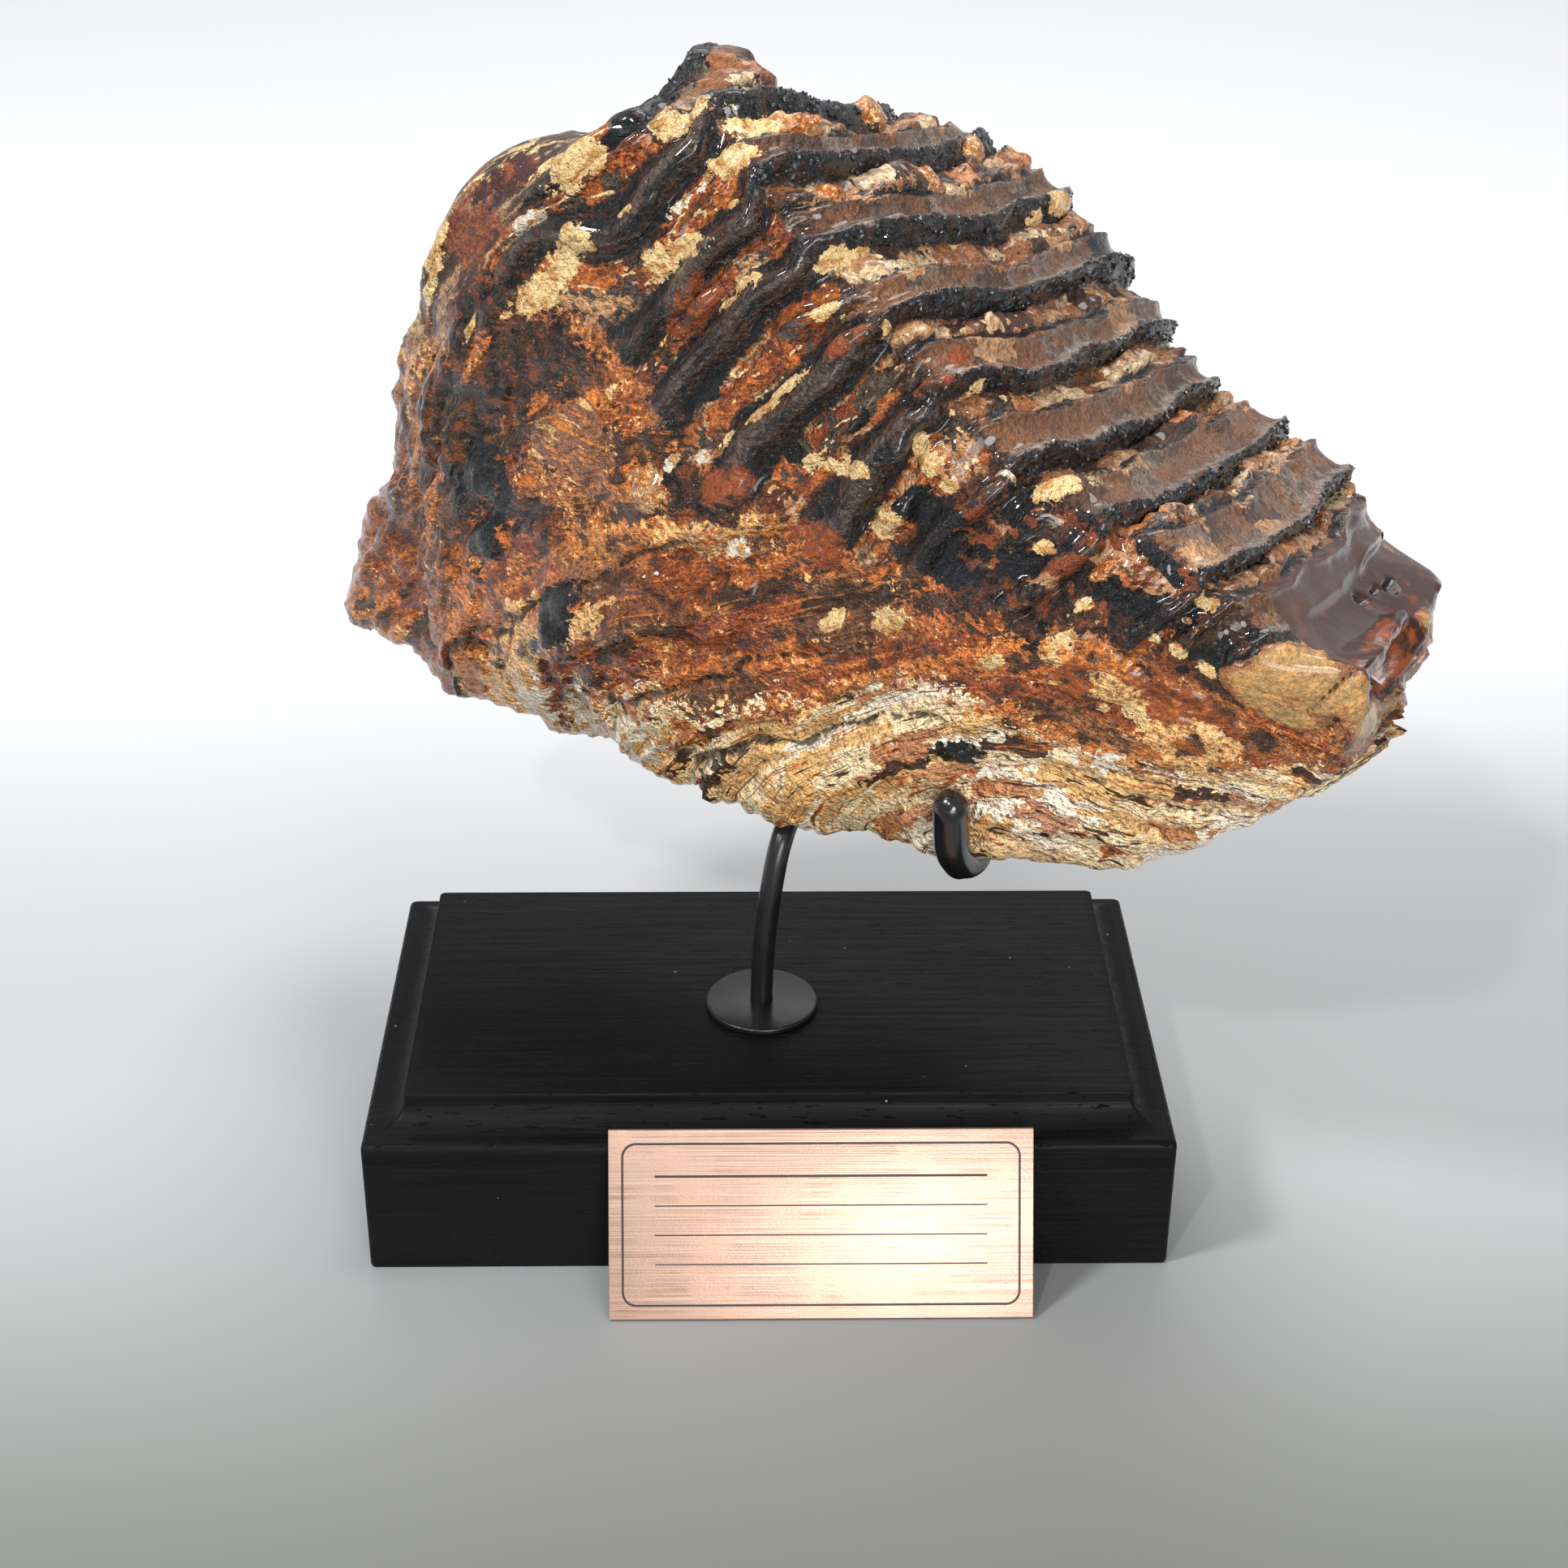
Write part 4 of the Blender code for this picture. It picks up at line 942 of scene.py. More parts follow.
def flank_coat(paint, where, chart, place):
    fine = paint.noise(where, *FINE)
    streak = paint.noise(paint.stretch(chart, (1.4, 11.0, 1.0)), 1.0, 4, 0.65)
    patchy = paint.noise(where, *PATCHY)
    lot = paint.lots(paint.warped(paint.stretch(chart, (1.0, 2.2, 1.0)), 5.0), 4.0)
    # Near-black base of the flank, left showing in the grooves between the ribs: painted shadow in the
    # grooves.
    groove_shadow = (GROOVE, 0.3)
    finger = paint.mix_colours(RED_BROWN, CHOCOLATE, paint.rise(lot[0], 0.60, 0.64))
    finger = paint.mix_colours(finger, RUST, paint.rise(lot[1], 0.66, 0.70))
    finger = paint.mix_colours(finger, ENAMEL_BROWN, paint.rise(lot[1], 0.28, 0.24))
    finger = paint.mix_colours(finger, CEMENT_TAN, paint.rise(lot[2], 0.82, 0.86))
    finger = paint.mix_colours(finger, CHOCOLATE, paint.rise(streak, 0.50, 0.60, 0.7))
    crumbs = paint.noise(paint.stretch(chart, (1.6, 4.5, 1.0)), 1.0, 6, 0.74)
    finger = paint.mix_colours(finger, CREAM_CRUST, paint.rise(crumbs, 0.585, 0.60))
    finger = paint.shaded(finger, fine, 0.36, 0.64, 0.5, 1.5)
    finger_coat = (finger, 0.3)
    between_ribs = paint.fraction(paint.sum(place, 0.9))
    coat = paint.over(groove_shadow, finger_coat, paint.between(between_ribs, 0.28, 0.72, 0.04))
    on_rib = paint.fraction(paint.sum(place, 0.4))
    # Grey-brown on the crest of each enamel rib: partly the rib's own worn colour, partly a painted
    # highlight on the rib tops.
    top = paint.times(paint.between(on_rib, 0.38, 0.62, 0.06), paint.rise(streak, 0.42, 0.54))
    enamel = paint.mix_colours(BLUE_BLACK, ENAMEL_BROWN, top)
    # Blue-grey flecks on the enamel ribs: partly painted glints.
    enamel = paint.mix_colours(enamel, GREY_BLUE_GLINT, paint.rise(fine, 0.55, 0.75, 0.8))
    enamel = paint.mix_colours(enamel, CHOCOLATE, paint.rise(patchy, 0.55, 0.62))
    enamel = paint.shaded(enamel, fine, 0.36, 0.64, 0.6, 1.35)
    enamel_coat = (enamel, 0.26)
    coat = paint.over(coat, enamel_coat, paint.between(on_rib, 0.25, 0.75, 0.02))
    shade = paint.mix_colours(GROOVE, CHOCOLATE, paint.rise(lot[0], 0.40, 0.44))
    shade = paint.mix_colours(shade, BLUE_BLACK, paint.rise(lot[1], 0.60, 0.64))
    shade = paint.mix_colours(shade, RED_BROWN, paint.rise(lot[2], 0.80, 0.84))
    shade = paint.mix_colours(shade, CEMENT_TAN, paint.rise(lot[2], 0.07, 0.05))
    shade_coat = (shade, 0.3)
    share = paint.times(paint.field("front"), paint.rise(patchy, 0.40, 0.48))
    return paint.over(coat, shade_coat, share)


def root_coat(paint, where):
    fibres = paint.vector_field("fibres")
    fibre = paint.noise(paint.stretch(fibres, (9.0, 1.1, 1.0)), 1.0, 5, 0.7, 0.6)
    patchy = paint.noise(where, *PATCHY)
    fine = paint.noise(where, *GRIT)
    big = paint.lots(paint.warped(paint.turned, 16.0), 15.0)
    small = paint.lots(paint.warped(paint.stretch(fibres, (2.2, 1.0, 1.0)), 7.0), 4.5)
    fold = paint.moved(paint.field("fold"), paint.sum(patchy, -0.5), 0.5)
    colour = paint.mix_colours(RUST, AMBER_BROWN, paint.rise(big[0], 0.50, 0.56))
    colour = paint.mix_colours(colour, CEMENT_RUST, paint.rise(paint.sum(big[2], patchy), 1.02, 1.10))
    colour = paint.mix_colours(colour, CHOCOLATE, paint.rise(big[1], 0.80, 0.84, 0.7))
    colour = paint.mix_colours(colour, RED_BROWN, paint.rise(small[0], 0.68, 0.72))
    colour = paint.mix_colours(colour, ORANGE, paint.rise(small[1], 0.76, 0.80, 0.7))
    colour = paint.mix_colours(colour, PALE_FIBRE, paint.rise(small[2], 0.87, 0.9, 0.8))
    colour = paint.mix_colours(colour, CHOCOLATE, paint.rise(small[2], 0.14, 0.10))
    # Orange along the crests of the root fibres, which follow the same noise as their relief: partly the
    # fibres' own colour, partly a painted highlight.
    colour = paint.mix_colours(colour, ORANGE, paint.rise(fibre, 0.54, 0.62, 0.6))
    colour = paint.mix_colours(colour, CHOCOLATE, paint.rise(patchy, 0.55, 0.60))
    pale = paint.times(paint.rise(fine, 0.53, 0.58), paint.rise(patchy, 0.50, 0.43))
    colour = paint.mix_colours(colour, PALE_FIBRE, paint.times(pale, 0.9))
    colour = paint.mix_colours(colour, ORANGE, paint.times(paint.between(fold, 0.14, 0.26, 0.04), 0.6))
    # Chocolate in the creases between the root's folds: painted shade in the creases.
    colour = paint.mix_colours(colour, CHOCOLATE, paint.rise(fold, 0.21, 0.12))
    colour = paint.shaded(colour, fine, 0.36, 0.62, 0.5, 1.75)
    return (colour, 0.3)


def ivory_coat(paint, where):
    """Bare bone of the broken root edge: white, straw and brown splinters with black between."""
    fibres = paint.vector_field("fibres")
    fibre = paint.noise(paint.stretch(fibres, (4.5, 1.2, 1.0)), 1.0, 6, 0.76, 1.0)
    blotch = paint.noise(paint.stretch(fibres, (9.0, 3.2, 1.0)), 1.0, 5, 0.70, 1.0)
    fine = paint.noise(where, *GRIT)
    lot = paint.lots(paint.warped(paint.stretch(fibres, (2.2, 1.0, 1.0)), 5.0), 2.6)
    bone = paint.mix_colours(IVORY_BONE, WHITE_CRUST, paint.rise(lot[0], 0.60, 0.64))
    bone = paint.mix_colours(bone, PALE_FIBRE, paint.rise(lot[1], 0.60, 0.64))
    bone = paint.mix_colours(bone, RUST, paint.rise(lot[1], 0.16, 0.12, 0.8))
    bone = paint.mix_colours(bone, CHOCOLATE, paint.rise(lot[2], 0.09, 0.06))
    bone = paint.mix_colours(bone, RUST, paint.rise(blotch, 0.42, 0.38))
    bone = paint.mix_colours(bone, GROOVE, paint.rise(blotch, 0.37, 0.34, 0.8))
    bone = paint.mix_colours(bone, RUST, paint.rise(fibre, 0.57, 0.60, 0.8))
    bone = paint.mix_colours(bone, CHOCOLATE, paint.rise(fibre, 0.435, 0.395))
    bone = paint.shaded(bone, fine, 0.38, 0.54, 0.6, 1.42)
    return (bone, 0.4)


def dome_coat(paint, where):
    own = paint.vector_field("own")
    streak = paint.noise(paint.stretch(own, (1.8, 1.8, 11.0)), 1.0, 5, 0.66, 0.5)
    fine = paint.noise(where, *GRIT)
    lot = paint.lots(paint.warped(paint.stretch(own, (1.0, 1.0, 2.5)), 4.0), 4.0)
    edge = paint.rise(paint.field("place"), 9.8, 9.3)
    colour = paint.mix_colours(CHOCOLATE, ENAMEL_BROWN, paint.rise(streak, 0.42, 0.50))
    colour = paint.mix_colours(colour, CEMENT_TAN, paint.rise(streak, 0.50, 0.58, 0.8))
    colour = paint.mix_colours(colour, CREAM_CRUST, paint.times(paint.rise(streak, 0.46, 0.54), edge))
    colour = paint.mix_colours(colour, RED_BROWN, paint.rise(lot[0], 0.62, 0.68, 0.8))
    colour = paint.mix_colours(colour, CHOCOLATE, paint.rise(lot[1], 0.70, 0.76, 0.8))
    colour = paint.shaded(colour, fine, 0.36, 0.62, 0.6, 1.3)
    return (colour, 0.34)


def worn_coat(paint, where, margin):
    wide = paint.noise(where, *WIDE)
    colour = paint.mix_colours(WORN_BROWN, CHOCOLATE, paint.rise(wide, 0.50, 0.64))
    colour = paint.mix_colours(colour, AMBER_BROWN, paint.rise(wide, 0.46, 0.36, 0.6))
    colour = paint.mix_colours(colour, WORN_GREY, paint.rise(margin, 3.6, 2.8, 0.55))
    line = paint.between(margin, 3.0, 3.3, 0.12)
    colour = paint.mix_colours(colour, CHOCOLATE, paint.times(line, 0.7))
    return (colour, 0.3)


def paint_tooth():
    paint = Finish("fossil_enamel_and_cement_skin")
    where = paint.place_in_mm()
    paint.pull_about(where)
    chart = paint.vector_field("chart")
    torn = paint.sum(paint.noise(where, 3.0, 7, 0.78), -0.5)
    torn = paint.moved(torn, paint.sum(paint.noise(where, 1.0, 4, 0.7), -0.5), 0.35)
    place = paint.fraction(paint.moved(paint.field("place"), torn, 0.30))
    plates = paint.field("plates")
    coat = root_coat(paint, where)
    ivory = paint.rise(paint.moved(paint.field("ivory"), torn, 30.0), 0.0, 0.8)
    coat = paint.over(coat, ivory_coat(paint, where), ivory)
    flank = paint.moved(paint.field("flank"), torn, 1.0)
    flank = paint.times(paint.rise(flank, 0.25, 0.42), paint.rise(plates, 0.3, 0.6))
    coat = paint.over(coat, flank_coat(paint, where, chart, place), flank)
    shallow = paint.rise(paint.field("depth"), 0.5, 0.4)
    dome = paint.times(paint.rise(paint.field("dome"), 0.35, 0.6), shallow)
    coat = paint.over(coat, dome_coat(paint, where), dome)
    chewing, enamel = chewing_coat(paint, where, place)
    rim = paint.moved(paint.field("crown"), torn, 0.8)
    coat = paint.over(coat, chewing, paint.times(paint.rise(rim, 0.45, 0.6), plates))
    ends = paint.times(paint.rise(rim, 0.96, 0.62), paint.rise(rim, 0.40, 0.5))
    ends = paint.times(ends, paint.rise(paint.noise(where, *GRAIN), 0.42, 0.52))
    coat = paint.over(coat, enamel, paint.times(ends, paint.times(plates, 0.85)))
    coat = lay_crusts(paint, coat, where, chart, torn)
    paint.shader.inputs["Coat Weight"].default_value = 0.6
    paint.shader.inputs["Coat Roughness"].default_value = 0.06
    paint.shader.inputs["Specular IOR Level"].default_value = 0.35
    return paint.wear(coat, tooth_relief(paint, where))


def tooth_relief(paint, where):
    """Grit, grains and crystals, softer on glossy crusts, and fibres along the roots."""
    grit = paint.times(paint.noise(where, *GRIT), 2.4)
    grain = paint.times(paint.noise(where, *GRAIN), 1.8)
    crystals = paint.times(paint.cells(where, CRYSTAL), -0.8)
    lumps = paint.sum(paint.sum(grit, grain), paint.sum(crystals, LUMPS_MIDDLE))
    fibres = paint.stretch(paint.vector_field("fibres"), (9.0, 1.1, 1.0))
    fibre = paint.sum(paint.noise(fibres, 1.0, 5, 0.7, 0.6), -0.5)
    fibre = paint.times(fibre, paint.field("fibrous"))
    return paint.sum(paint.times(lumps, paint.field("rough")), fibre)


def lay_crusts(paint, coat, where, chart, torn):
    fine = paint.noise(where, *FINE)
    lump = paint.noise(where, *GRAIN)

    def patch(name, soft, ragged=TORN):
        return paint.rise(paint.sum(paint.field(name), paint.times(torn, ragged)), 0.0, soft)

    dark = paint.mix_colours(CHOCOLATE, GROOVE, paint.rise(lump, 0.50, 0.60))
    dark = paint.mix_colours(dark, AMBER_BROWN, paint.rise(lump, 0.46, 0.40, 0.8))
    dark = paint.mix_colours(dark, ENAMEL_BROWN, paint.rise(fine, 0.54, 0.66))
    coat = paint.over(coat, (dark, 0.24), patch("grainy", 0.2, 3.0))
    tan = paint.mix_colours(CEMENT_TAN, ORANGE, paint.rise(lump, 0.44, 0.60))
    tan = paint.mix_colours(tan, CREAM_CRUST, paint.rise(fine, 0.52, 0.64))
    tan = paint.shaded(tan, fine, 0.36, 0.60, 0.6, 1.2)
    coat = paint.over(coat, (tan, 0.4), patch("tan", 0.1))
    stain = paint.mix_colours(ORANGE, RUST, paint.rise(lump, 0.44, 0.58))
    stain = paint.mix_colours(stain, CREAM_CRUST, paint.rise(fine, 0.57, 0.62))
    stain = paint.shaded(stain, fine, 0.36, 0.60, 0.45, 1.2)
    coat = paint.over(coat, (stain, 0.35), patch("orange", 0.4, 3.0))
    black = (BLUE_BLACK, 0.14)
    coat = paint.over(coat, black, patch("black", 0.1, 2.6))
    red = paint.mix_colours(RED_BROWN, CHOCOLATE, paint.rise(lump, 0.45, 0.62))
    red = paint.mix_colours(red, ORANGE, paint.rise(fine, 0.56, 0.7, 0.4))
    coat = paint.over(coat, (red, 0.16), patch("red_gloss", 0.25))
    glaze = paint.mix_colours(MAROON_GLAZE, RED_BROWN, paint.rise(lump, 0.5, 0.64))
    coat = paint.over(coat, (glaze, 0.16), patch("maroon", 0.2))
    grain = paint.noise(paint.stretch(chart, (9.0, 1.1, 1.0)), 1.0, 5, 0.65, 0.5)
    flake = paint.mix_colours(FLAKE_BROWN, ORANGE, paint.rise(grain, 0.52, 0.60))
    flake = paint.mix_colours(flake, PALE_FIBRE, paint.rise(grain, 0.44, 0.38))
    flake = paint.shaded(flake, fine, 0.36, 0.62, 0.6, 1.4)
    coat = paint.over(coat, (flake, 0.3), patch("flake", 0.05, 1.2))
    wide = paint.noise(where, *WIDE)
    middle = paint.moved(paint.field("ochre"), paint.sum(wide, -0.5), 1.6)
    ochre = paint.mix_colours(CEMENT_RUST, OCHRE_PALE, paint.rise(middle, 0.10, 0.55))
    ochre = paint.mix_colours(ochre, CREAM_SHADE, paint.rise(lump, 0.50, 0.60, 0.7))
    ochre = paint.shaded(ochre, fine, 0.36, 0.62, 0.75, 1.15)
    coat = paint.over(coat, (ochre, 0.36), patch("ochre", 0.06, 0.8))
    worn = paint.field("worn")
    coat = paint.over(coat, worn_coat(paint, where, worn), paint.rise(worn, 0.0, 0.35))
    snapped = paint.mix_colours(WORN_BROWN, AMBER_BROWN, paint.rise(lump, 0.42, 0.6))
    shallow = paint.rise(paint.field("depth"), 0.30, 0.16)
    broken = paint.times(paint.rise(paint.field("broken"), 0.1, 0.3), shallow)
    coat = paint.over(coat, (snapped, 0.25), broken)
    amber = paint.mix_colours(AMBER_BROWN, RUST, paint.rise(lump, 0.54, 0.7))
    amber = paint.mix_colours(amber, CHOCOLATE, paint.rise(lump, 0.44, 0.34))
    coat = paint.over(coat, (amber, 0.12), patch("amber", 0.4))
    wall = paint.mix_colours(OCHRE_PALE, AMBER_BROWN, paint.rise(lump, 0.46, 0.6))
    coat = paint.over(coat, (wall, 0.3), patch("notch", 0.2, 1.0))
    # Near-black laid in the worn face's cavities and the root's furrows: painted shade in these hollows.
    hollow = paint.mix_colours(GROOVE, CHOCOLATE, paint.rise(lump, 0.5, 0.6))
    coat = paint.over(coat, (hollow, 0.4), patch("cavity", 0.2))
    furrow = paint.rise(paint.moved(paint.field("furrow"), torn, 2.0), 0.5, 0.8)
    coat = paint.over(coat, (hollow, 0.25), paint.times(furrow, 0.85))
    cream = paint.mix_colours(CREAM_CRUST, CREAM_SHADE, paint.rise(lump, 0.50, 0.60))
    cream = paint.mix_colours(cream, CEMENT_RUST, paint.rise(fine, 0.38, 0.33))
    cream = paint.shaded(cream, fine, 0.36, 0.60, 0.84, 1.08)
    coat = paint.over(coat, (cream, 0.6), patch("cream", 0.05, 3.0))
    white = paint.mix_colours(WHITE_CRUST, CREAM_SHADE, paint.rise(lump, 0.50, 0.56))
    white = paint.shaded(white, fine, 0.36, 0.60, 0.7, 1.05)
    return paint.over(coat, (white, 0.5), patch("white", 0.05, 3.0))


# --- pieces in general --------------------------------------------------------------------------


def hold_in_box(piece, node):
    """Presses a piece's points back inside the box of its node."""
    points = np.empty(3 * len(piece.data.vertices))
    piece.data.vertices.foreach_get("co", points)
    held = stay_in_box(points.reshape(-1, 3), node)
    piece.data.vertices.foreach_set("co", held.ravel())
    piece.data.update()


def make_object(name, mesh):
    made = bpy.data.objects.new(name, mesh)
    bpy.context.scene.collection.objects.link(made)
    return made


def object_from_bmesh(form, name, smooth_angle=None):
    bmesh.ops.recalc_face_normals(form, faces=form.faces)
    mesh = bpy.data.meshes.new(name)
    form.to_mesh(mesh)
    form.free()
    if smooth_angle is not None:
        mesh.shade_smooth()
        mesh.set_sharp_from_angle(angle=smooth_angle)
    return make_object(name, mesh)


def fit(piece, node, material):
    """Dresses a piece, puts it in place of its node and lets it ride with the part."""
    piece.data.materials.clear()
    piece.data.materials.append(material)
    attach(piece, "root")
    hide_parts(node)


# --- geometry node trees ------------------------------------------------------------------------


class Recipe:
    """A geometry node tree with named inputs."""

    def __init__(self, name, inputs):
        self.tree = bpy.data.node_groups.new(name, "GeometryNodeTree")
        face = self.tree.interface
        face.new_socket("Geometry", in_out="INPUT", socket_type="NodeSocketGeometry")
        face.new_socket("Geometry", in_out="OUTPUT", socket_type="NodeSocketGeometry")
        self.keys = {}
        for label, kind in inputs:
            socket = face.new_socket(label, in_out="INPUT", socket_type="NodeSocket" + kind)
            self.keys[label] = socket.identifier
        self.inputs = self.tree.nodes.new("NodeGroupInput").outputs
        self.out = self.tree.nodes.new("NodeGroupOutput")

    def node(self, kind, sockets=(), **settings):
        made = self.tree.nodes.new(kind)
        for key, value in settings.items():
            setattr(made, key, value)
        for place, value in dict(sockets).items():
            if isinstance(value, bpy.types.NodeSocket):
                self.tree.links.new(value, made.inputs[place])
            else:
                made.inputs[place].default_value = value
        return made

    def finish(self, geometry, material):
        real = self.node("GeometryNodeRealizeInstances", {"Geometry": geometry})
        dressed = self.node("GeometryNodeSetMaterial", {"Geometry": real.outputs[0], "Material": material})
        self.tree.links.new(dressed.outputs[0], self.out.inputs[0])

    def make(self, name, mesh, values):
        """Runs the tree on a mesh and returns a plain mesh object."""
        carrier = make_object(name + "_carrier", mesh)
        modifier = carrier.modifiers.new("recipe", "NODES")
        modifier.node_group = self.tree
        for label, value in values.items():
            modifier[self.keys[label]] = value
        bpy.context.view_layer.update()
        graph = bpy.context.evaluated_depsgraph_get()
        made = bpy.data.meshes.new_from_object(carrier.evaluated_get(graph))
        made.name = name
        carrier.modifiers.remove(modifier)
        bpy.data.objects.remove(carrier)
        return make_object(name, made)


def grains_recipe(material):
    """Scatters small crystals over a mesh, as thick as its grit field says."""
    recipe = Recipe(
        "enamel_grains", (("Grain size", "Float"), ("Grains per square metre", "Float"), ("Seed", "Int"))
    )
    inputs = recipe.inputs
    grit = recipe.node("GeometryNodeInputNamedAttribute", {"Name": "grit"}, data_type="FLOAT")
    density = recipe.node(
        "ShaderNodeMath",
        {0: grit.outputs[0], 1: inputs["Grains per square metre"]},
        operation="MULTIPLY",
    )
    spread = recipe.node(
        "GeometryNodeDistributePointsOnFaces",
        {"Mesh": inputs["Geometry"], "Density": density.outputs[0], "Seed": inputs["Seed"]},
    )
    grain = recipe.node(
        "GeometryNodeMeshIcoSphere", {"Radius": inputs["Grain size"], "Subdivisions": 1}
    )
    turn = recipe.node(
        "FunctionNodeRandomValue",
        {0: (0.0, 0.0, 0.0), 1: (6.28, 6.28, 6.28), "Seed": inputs["Seed"]},
        data_type="FLOAT_VECTOR",
    )
    size = recipe.node(
        "FunctionNodeRandomValue",
        {0: (0.35, 0.35, 0.3), 1: (1.7, 1.4, 0.9), "Seed": inputs["Seed"]},
        data_type="FLOAT_VECTOR",
    )
    placed = recipe.node(
        "GeometryNodeInstanceOnPoints",
        {
            "Points": spread.outputs["Points"],
            "Instance": grain.outputs["Mesh"],
            "Rotation": turn.outputs[0],
            "Scale": size.outputs[0],
        },
    )
    recipe.finish(placed.outputs[0], material)
    return recipe


def paint_grains():
    paint = Finish("enamel_crystal_grains")
    where = paint.place_in_mm()
    tint = paint.noise(where, 1.8, 2)
    # Blue-grey on part of the grains: partly painted glints.
    colour = paint.mix_colours(BLUE_BLACK, GREY_BLUE_GLINT, paint.rise(tint, 0.45, 0.75))
    fine = paint.noise(where, 0.5, 3)
    paint.shader.inputs["Coat Weight"].default_value = 0.5
    paint.shader.inputs["Coat Roughness"].default_value = 0.08
    return paint.wear((colour, paint.mix_numbers(0.12, 0.35, tint)), paint.times(fine, 0.15))


# --- plinth -------------------------------------------------------------------------------------


def moulding_profile():
    """The plinth's outline from its underside up: (inset from the face, height)."""
    rows = [(0.5 * MM, 0), (0.12 * MM, 0.12 * MM), (0, 0.5 * MM)]
    rows += [(0, FACE_HEIGHT * share) for share in (0.25, 0.5, 0.75, 1)]
    top = FACE_HEIGHT
    for step in range(1, 9):
        turn = math.radians(90 * step / 8)
        rows.append((NOSING_RADIUS * (1 - math.cos(turn)), top + NOSING_RADIUS * math.sin(turn)))
    inset, top = NOSING_RADIUS, FACE_HEIGHT + NOSING_RADIUS
    for step in range(1, 15):
        turn = math.radians(90 * step / 14)
        rows.append((inset + COVE_WIDTH * math.sin(turn), top + COVE_HEIGHT * (1 - math.cos(turn))))
    inset, top = inset + COVE_WIDTH, top + COVE_HEIGHT
    rows.append((inset + 0.01 * MM, top + PANEL_LIP))
    for step in range(1, 4):
        turn = math.radians(90 * step / 3)
        rise = PANEL_ROUND * math.sin(turn)
        rows.append((inset + 0.01 * MM + PANEL_ROUND * (1 - math.cos(turn)), top + PANEL_LIP + rise))
    rows += [(inset + width * MM, PLINTH_HEIGHT) for width in (2, 6, 12, 20, 28)]
    return rows


def rounded_rectangle(width, depth, radius, corner_steps, edge_steps):
    """Points round a rectangle with softened corners, with steps along its straight edges."""
    loop = []
    corners = ((1, 1, 0), (-1, 1, 90), (-1, -1, 180), (1, -1, 270))
    for side_x, side_y, start in corners:
        centre = (side_x * (width / 2 - radius), side_y * (depth / 2 - radius))
        for step in range(corner_steps + 1):
            turn = math.radians(start + 90 * step / corner_steps)
            loop.append((centre[0] + radius * math.cos(turn), centre[1] + radius * math.sin(turn)))
    filled = []
    for here, after in zip(loop, loop[1:] + loop[:1]):
        filled.append(here)
        gap = math.dist(here, after)
        if gap > 4 * radius:
            for step in range(1, edge_steps):
                share = step / edge_steps
                filled.append(tuple(a + (b - a) * share for a, b in zip(here, after)))
    return filled


def build_plinth():
    form = bmesh.new()
    rings = []
    for inset, height in moulding_profile():
        loop = rounded_rectangle(
            PLINTH_WIDTH - 2 * inset, PLINTH_DEPTH - 2 * inset, CORNER_ROUND, 5, 24
        )
        rings.append([form.verts.new((x, y, height)) for x, y in loop])
    for below, above in zip(rings, rings[1:]):
        for index in range(len(below)):
            after = (index + 1) % len(below)
            form.faces.new((below[index], below[after], above[after], above[index]))
    form.faces.new(rings[0])
    form.faces.new(rings[-1])
    return object_from_bmesh(form, "plinth_moulded", math.radians(32))


def paint_wood():
    """Black stain on open-grained wood, with the grain running along the plinth."""
    paint = Finish("black_stained_open_grain")
    where = paint.place_in_mm()
    fibre = paint.noise(paint.stretch(where, (26.0, 0.9, 0.9)), 1.0, 4, 0.6, 0.5)
    pores = paint.noise(paint.stretch(where, (3.6, 0.55, 0.55)), 1.0, 3, 0.6, 0.3)
    wide = paint.noise(paint.stretch(where, (60.0, 9.0, 9.0)), 1.0, 2)
    dust = paint.cells(where, 5.0)
    pore = paint.rise(pores, 0.38, 0.30)
    colour = paint.mix_colours(srgb(10, 10, 12), srgb(19, 19, 21), paint.rise(fibre, 0.4, 0.7))
    colour = paint.mix_colours(colour, srgb(16, 16, 18), paint.rise(wide, 0.4, 0.6))
    colour = paint.mix_colours(colour, srgb(8, 8, 9), pore)
    speck = paint.times(paint.rise(dust, 0.045, 0.03), paint.rise(wide, 0.5, 0.6))
    colour = paint.mix_colours(colour, srgb(150, 150, 150), speck)
    height = paint.moved(paint.times(fibre, 0.12), pore, -0.25)
    rough = paint.mix_numbers(0.38, 0.55, paint.rise(fibre, 0.3, 0.7))
    paint.shader.inputs["Specular IOR Level"].default_value = 0.13
    return paint.wear((colour, rough), height)


# --- flange, rods and sleeves -------------------------------------------------------------------


def build_flange():
    inner = ROD_RADIUS + 0.05 * MM
    edge = 0.35 * MM
    profile = [(inner, 0), (inner, FLANGE_THICKNESS)]
    for step in range(6):
        turn = math.radians(90 - 18 * step)
        radius = FLANGE_RADIUS - edge + edge * math.cos(turn)
        profile.append((radius, FLANGE_THICKNESS - edge + edge * math.sin(turn)))
    profile.append((FLANGE_RADIUS, 0))
    form = bmesh.new()
    points = [form.verts.new((radius, 0, height)) for radius, height in profile]
    edges = [form.edges.new((a, b)) for a, b in zip(points, points[1:] + points[:1])]
    bmesh.ops.spin(
        form, geom=points + edges, cent=(0, 0, 0), axis=(0, 0, 1), angle=math.tau, steps=96,
        use_merge=True,
    )
    foot_x, foot_y = (value * MM for value in STEM_FOOT)
    bmesh.ops.translate(form, vec=(foot_x, foot_y, PLINTH_HEIGHT + TOUCH_GAP), verts=form.verts)
    return object_from_bmesh(form, "flange_turned", math.radians(40))


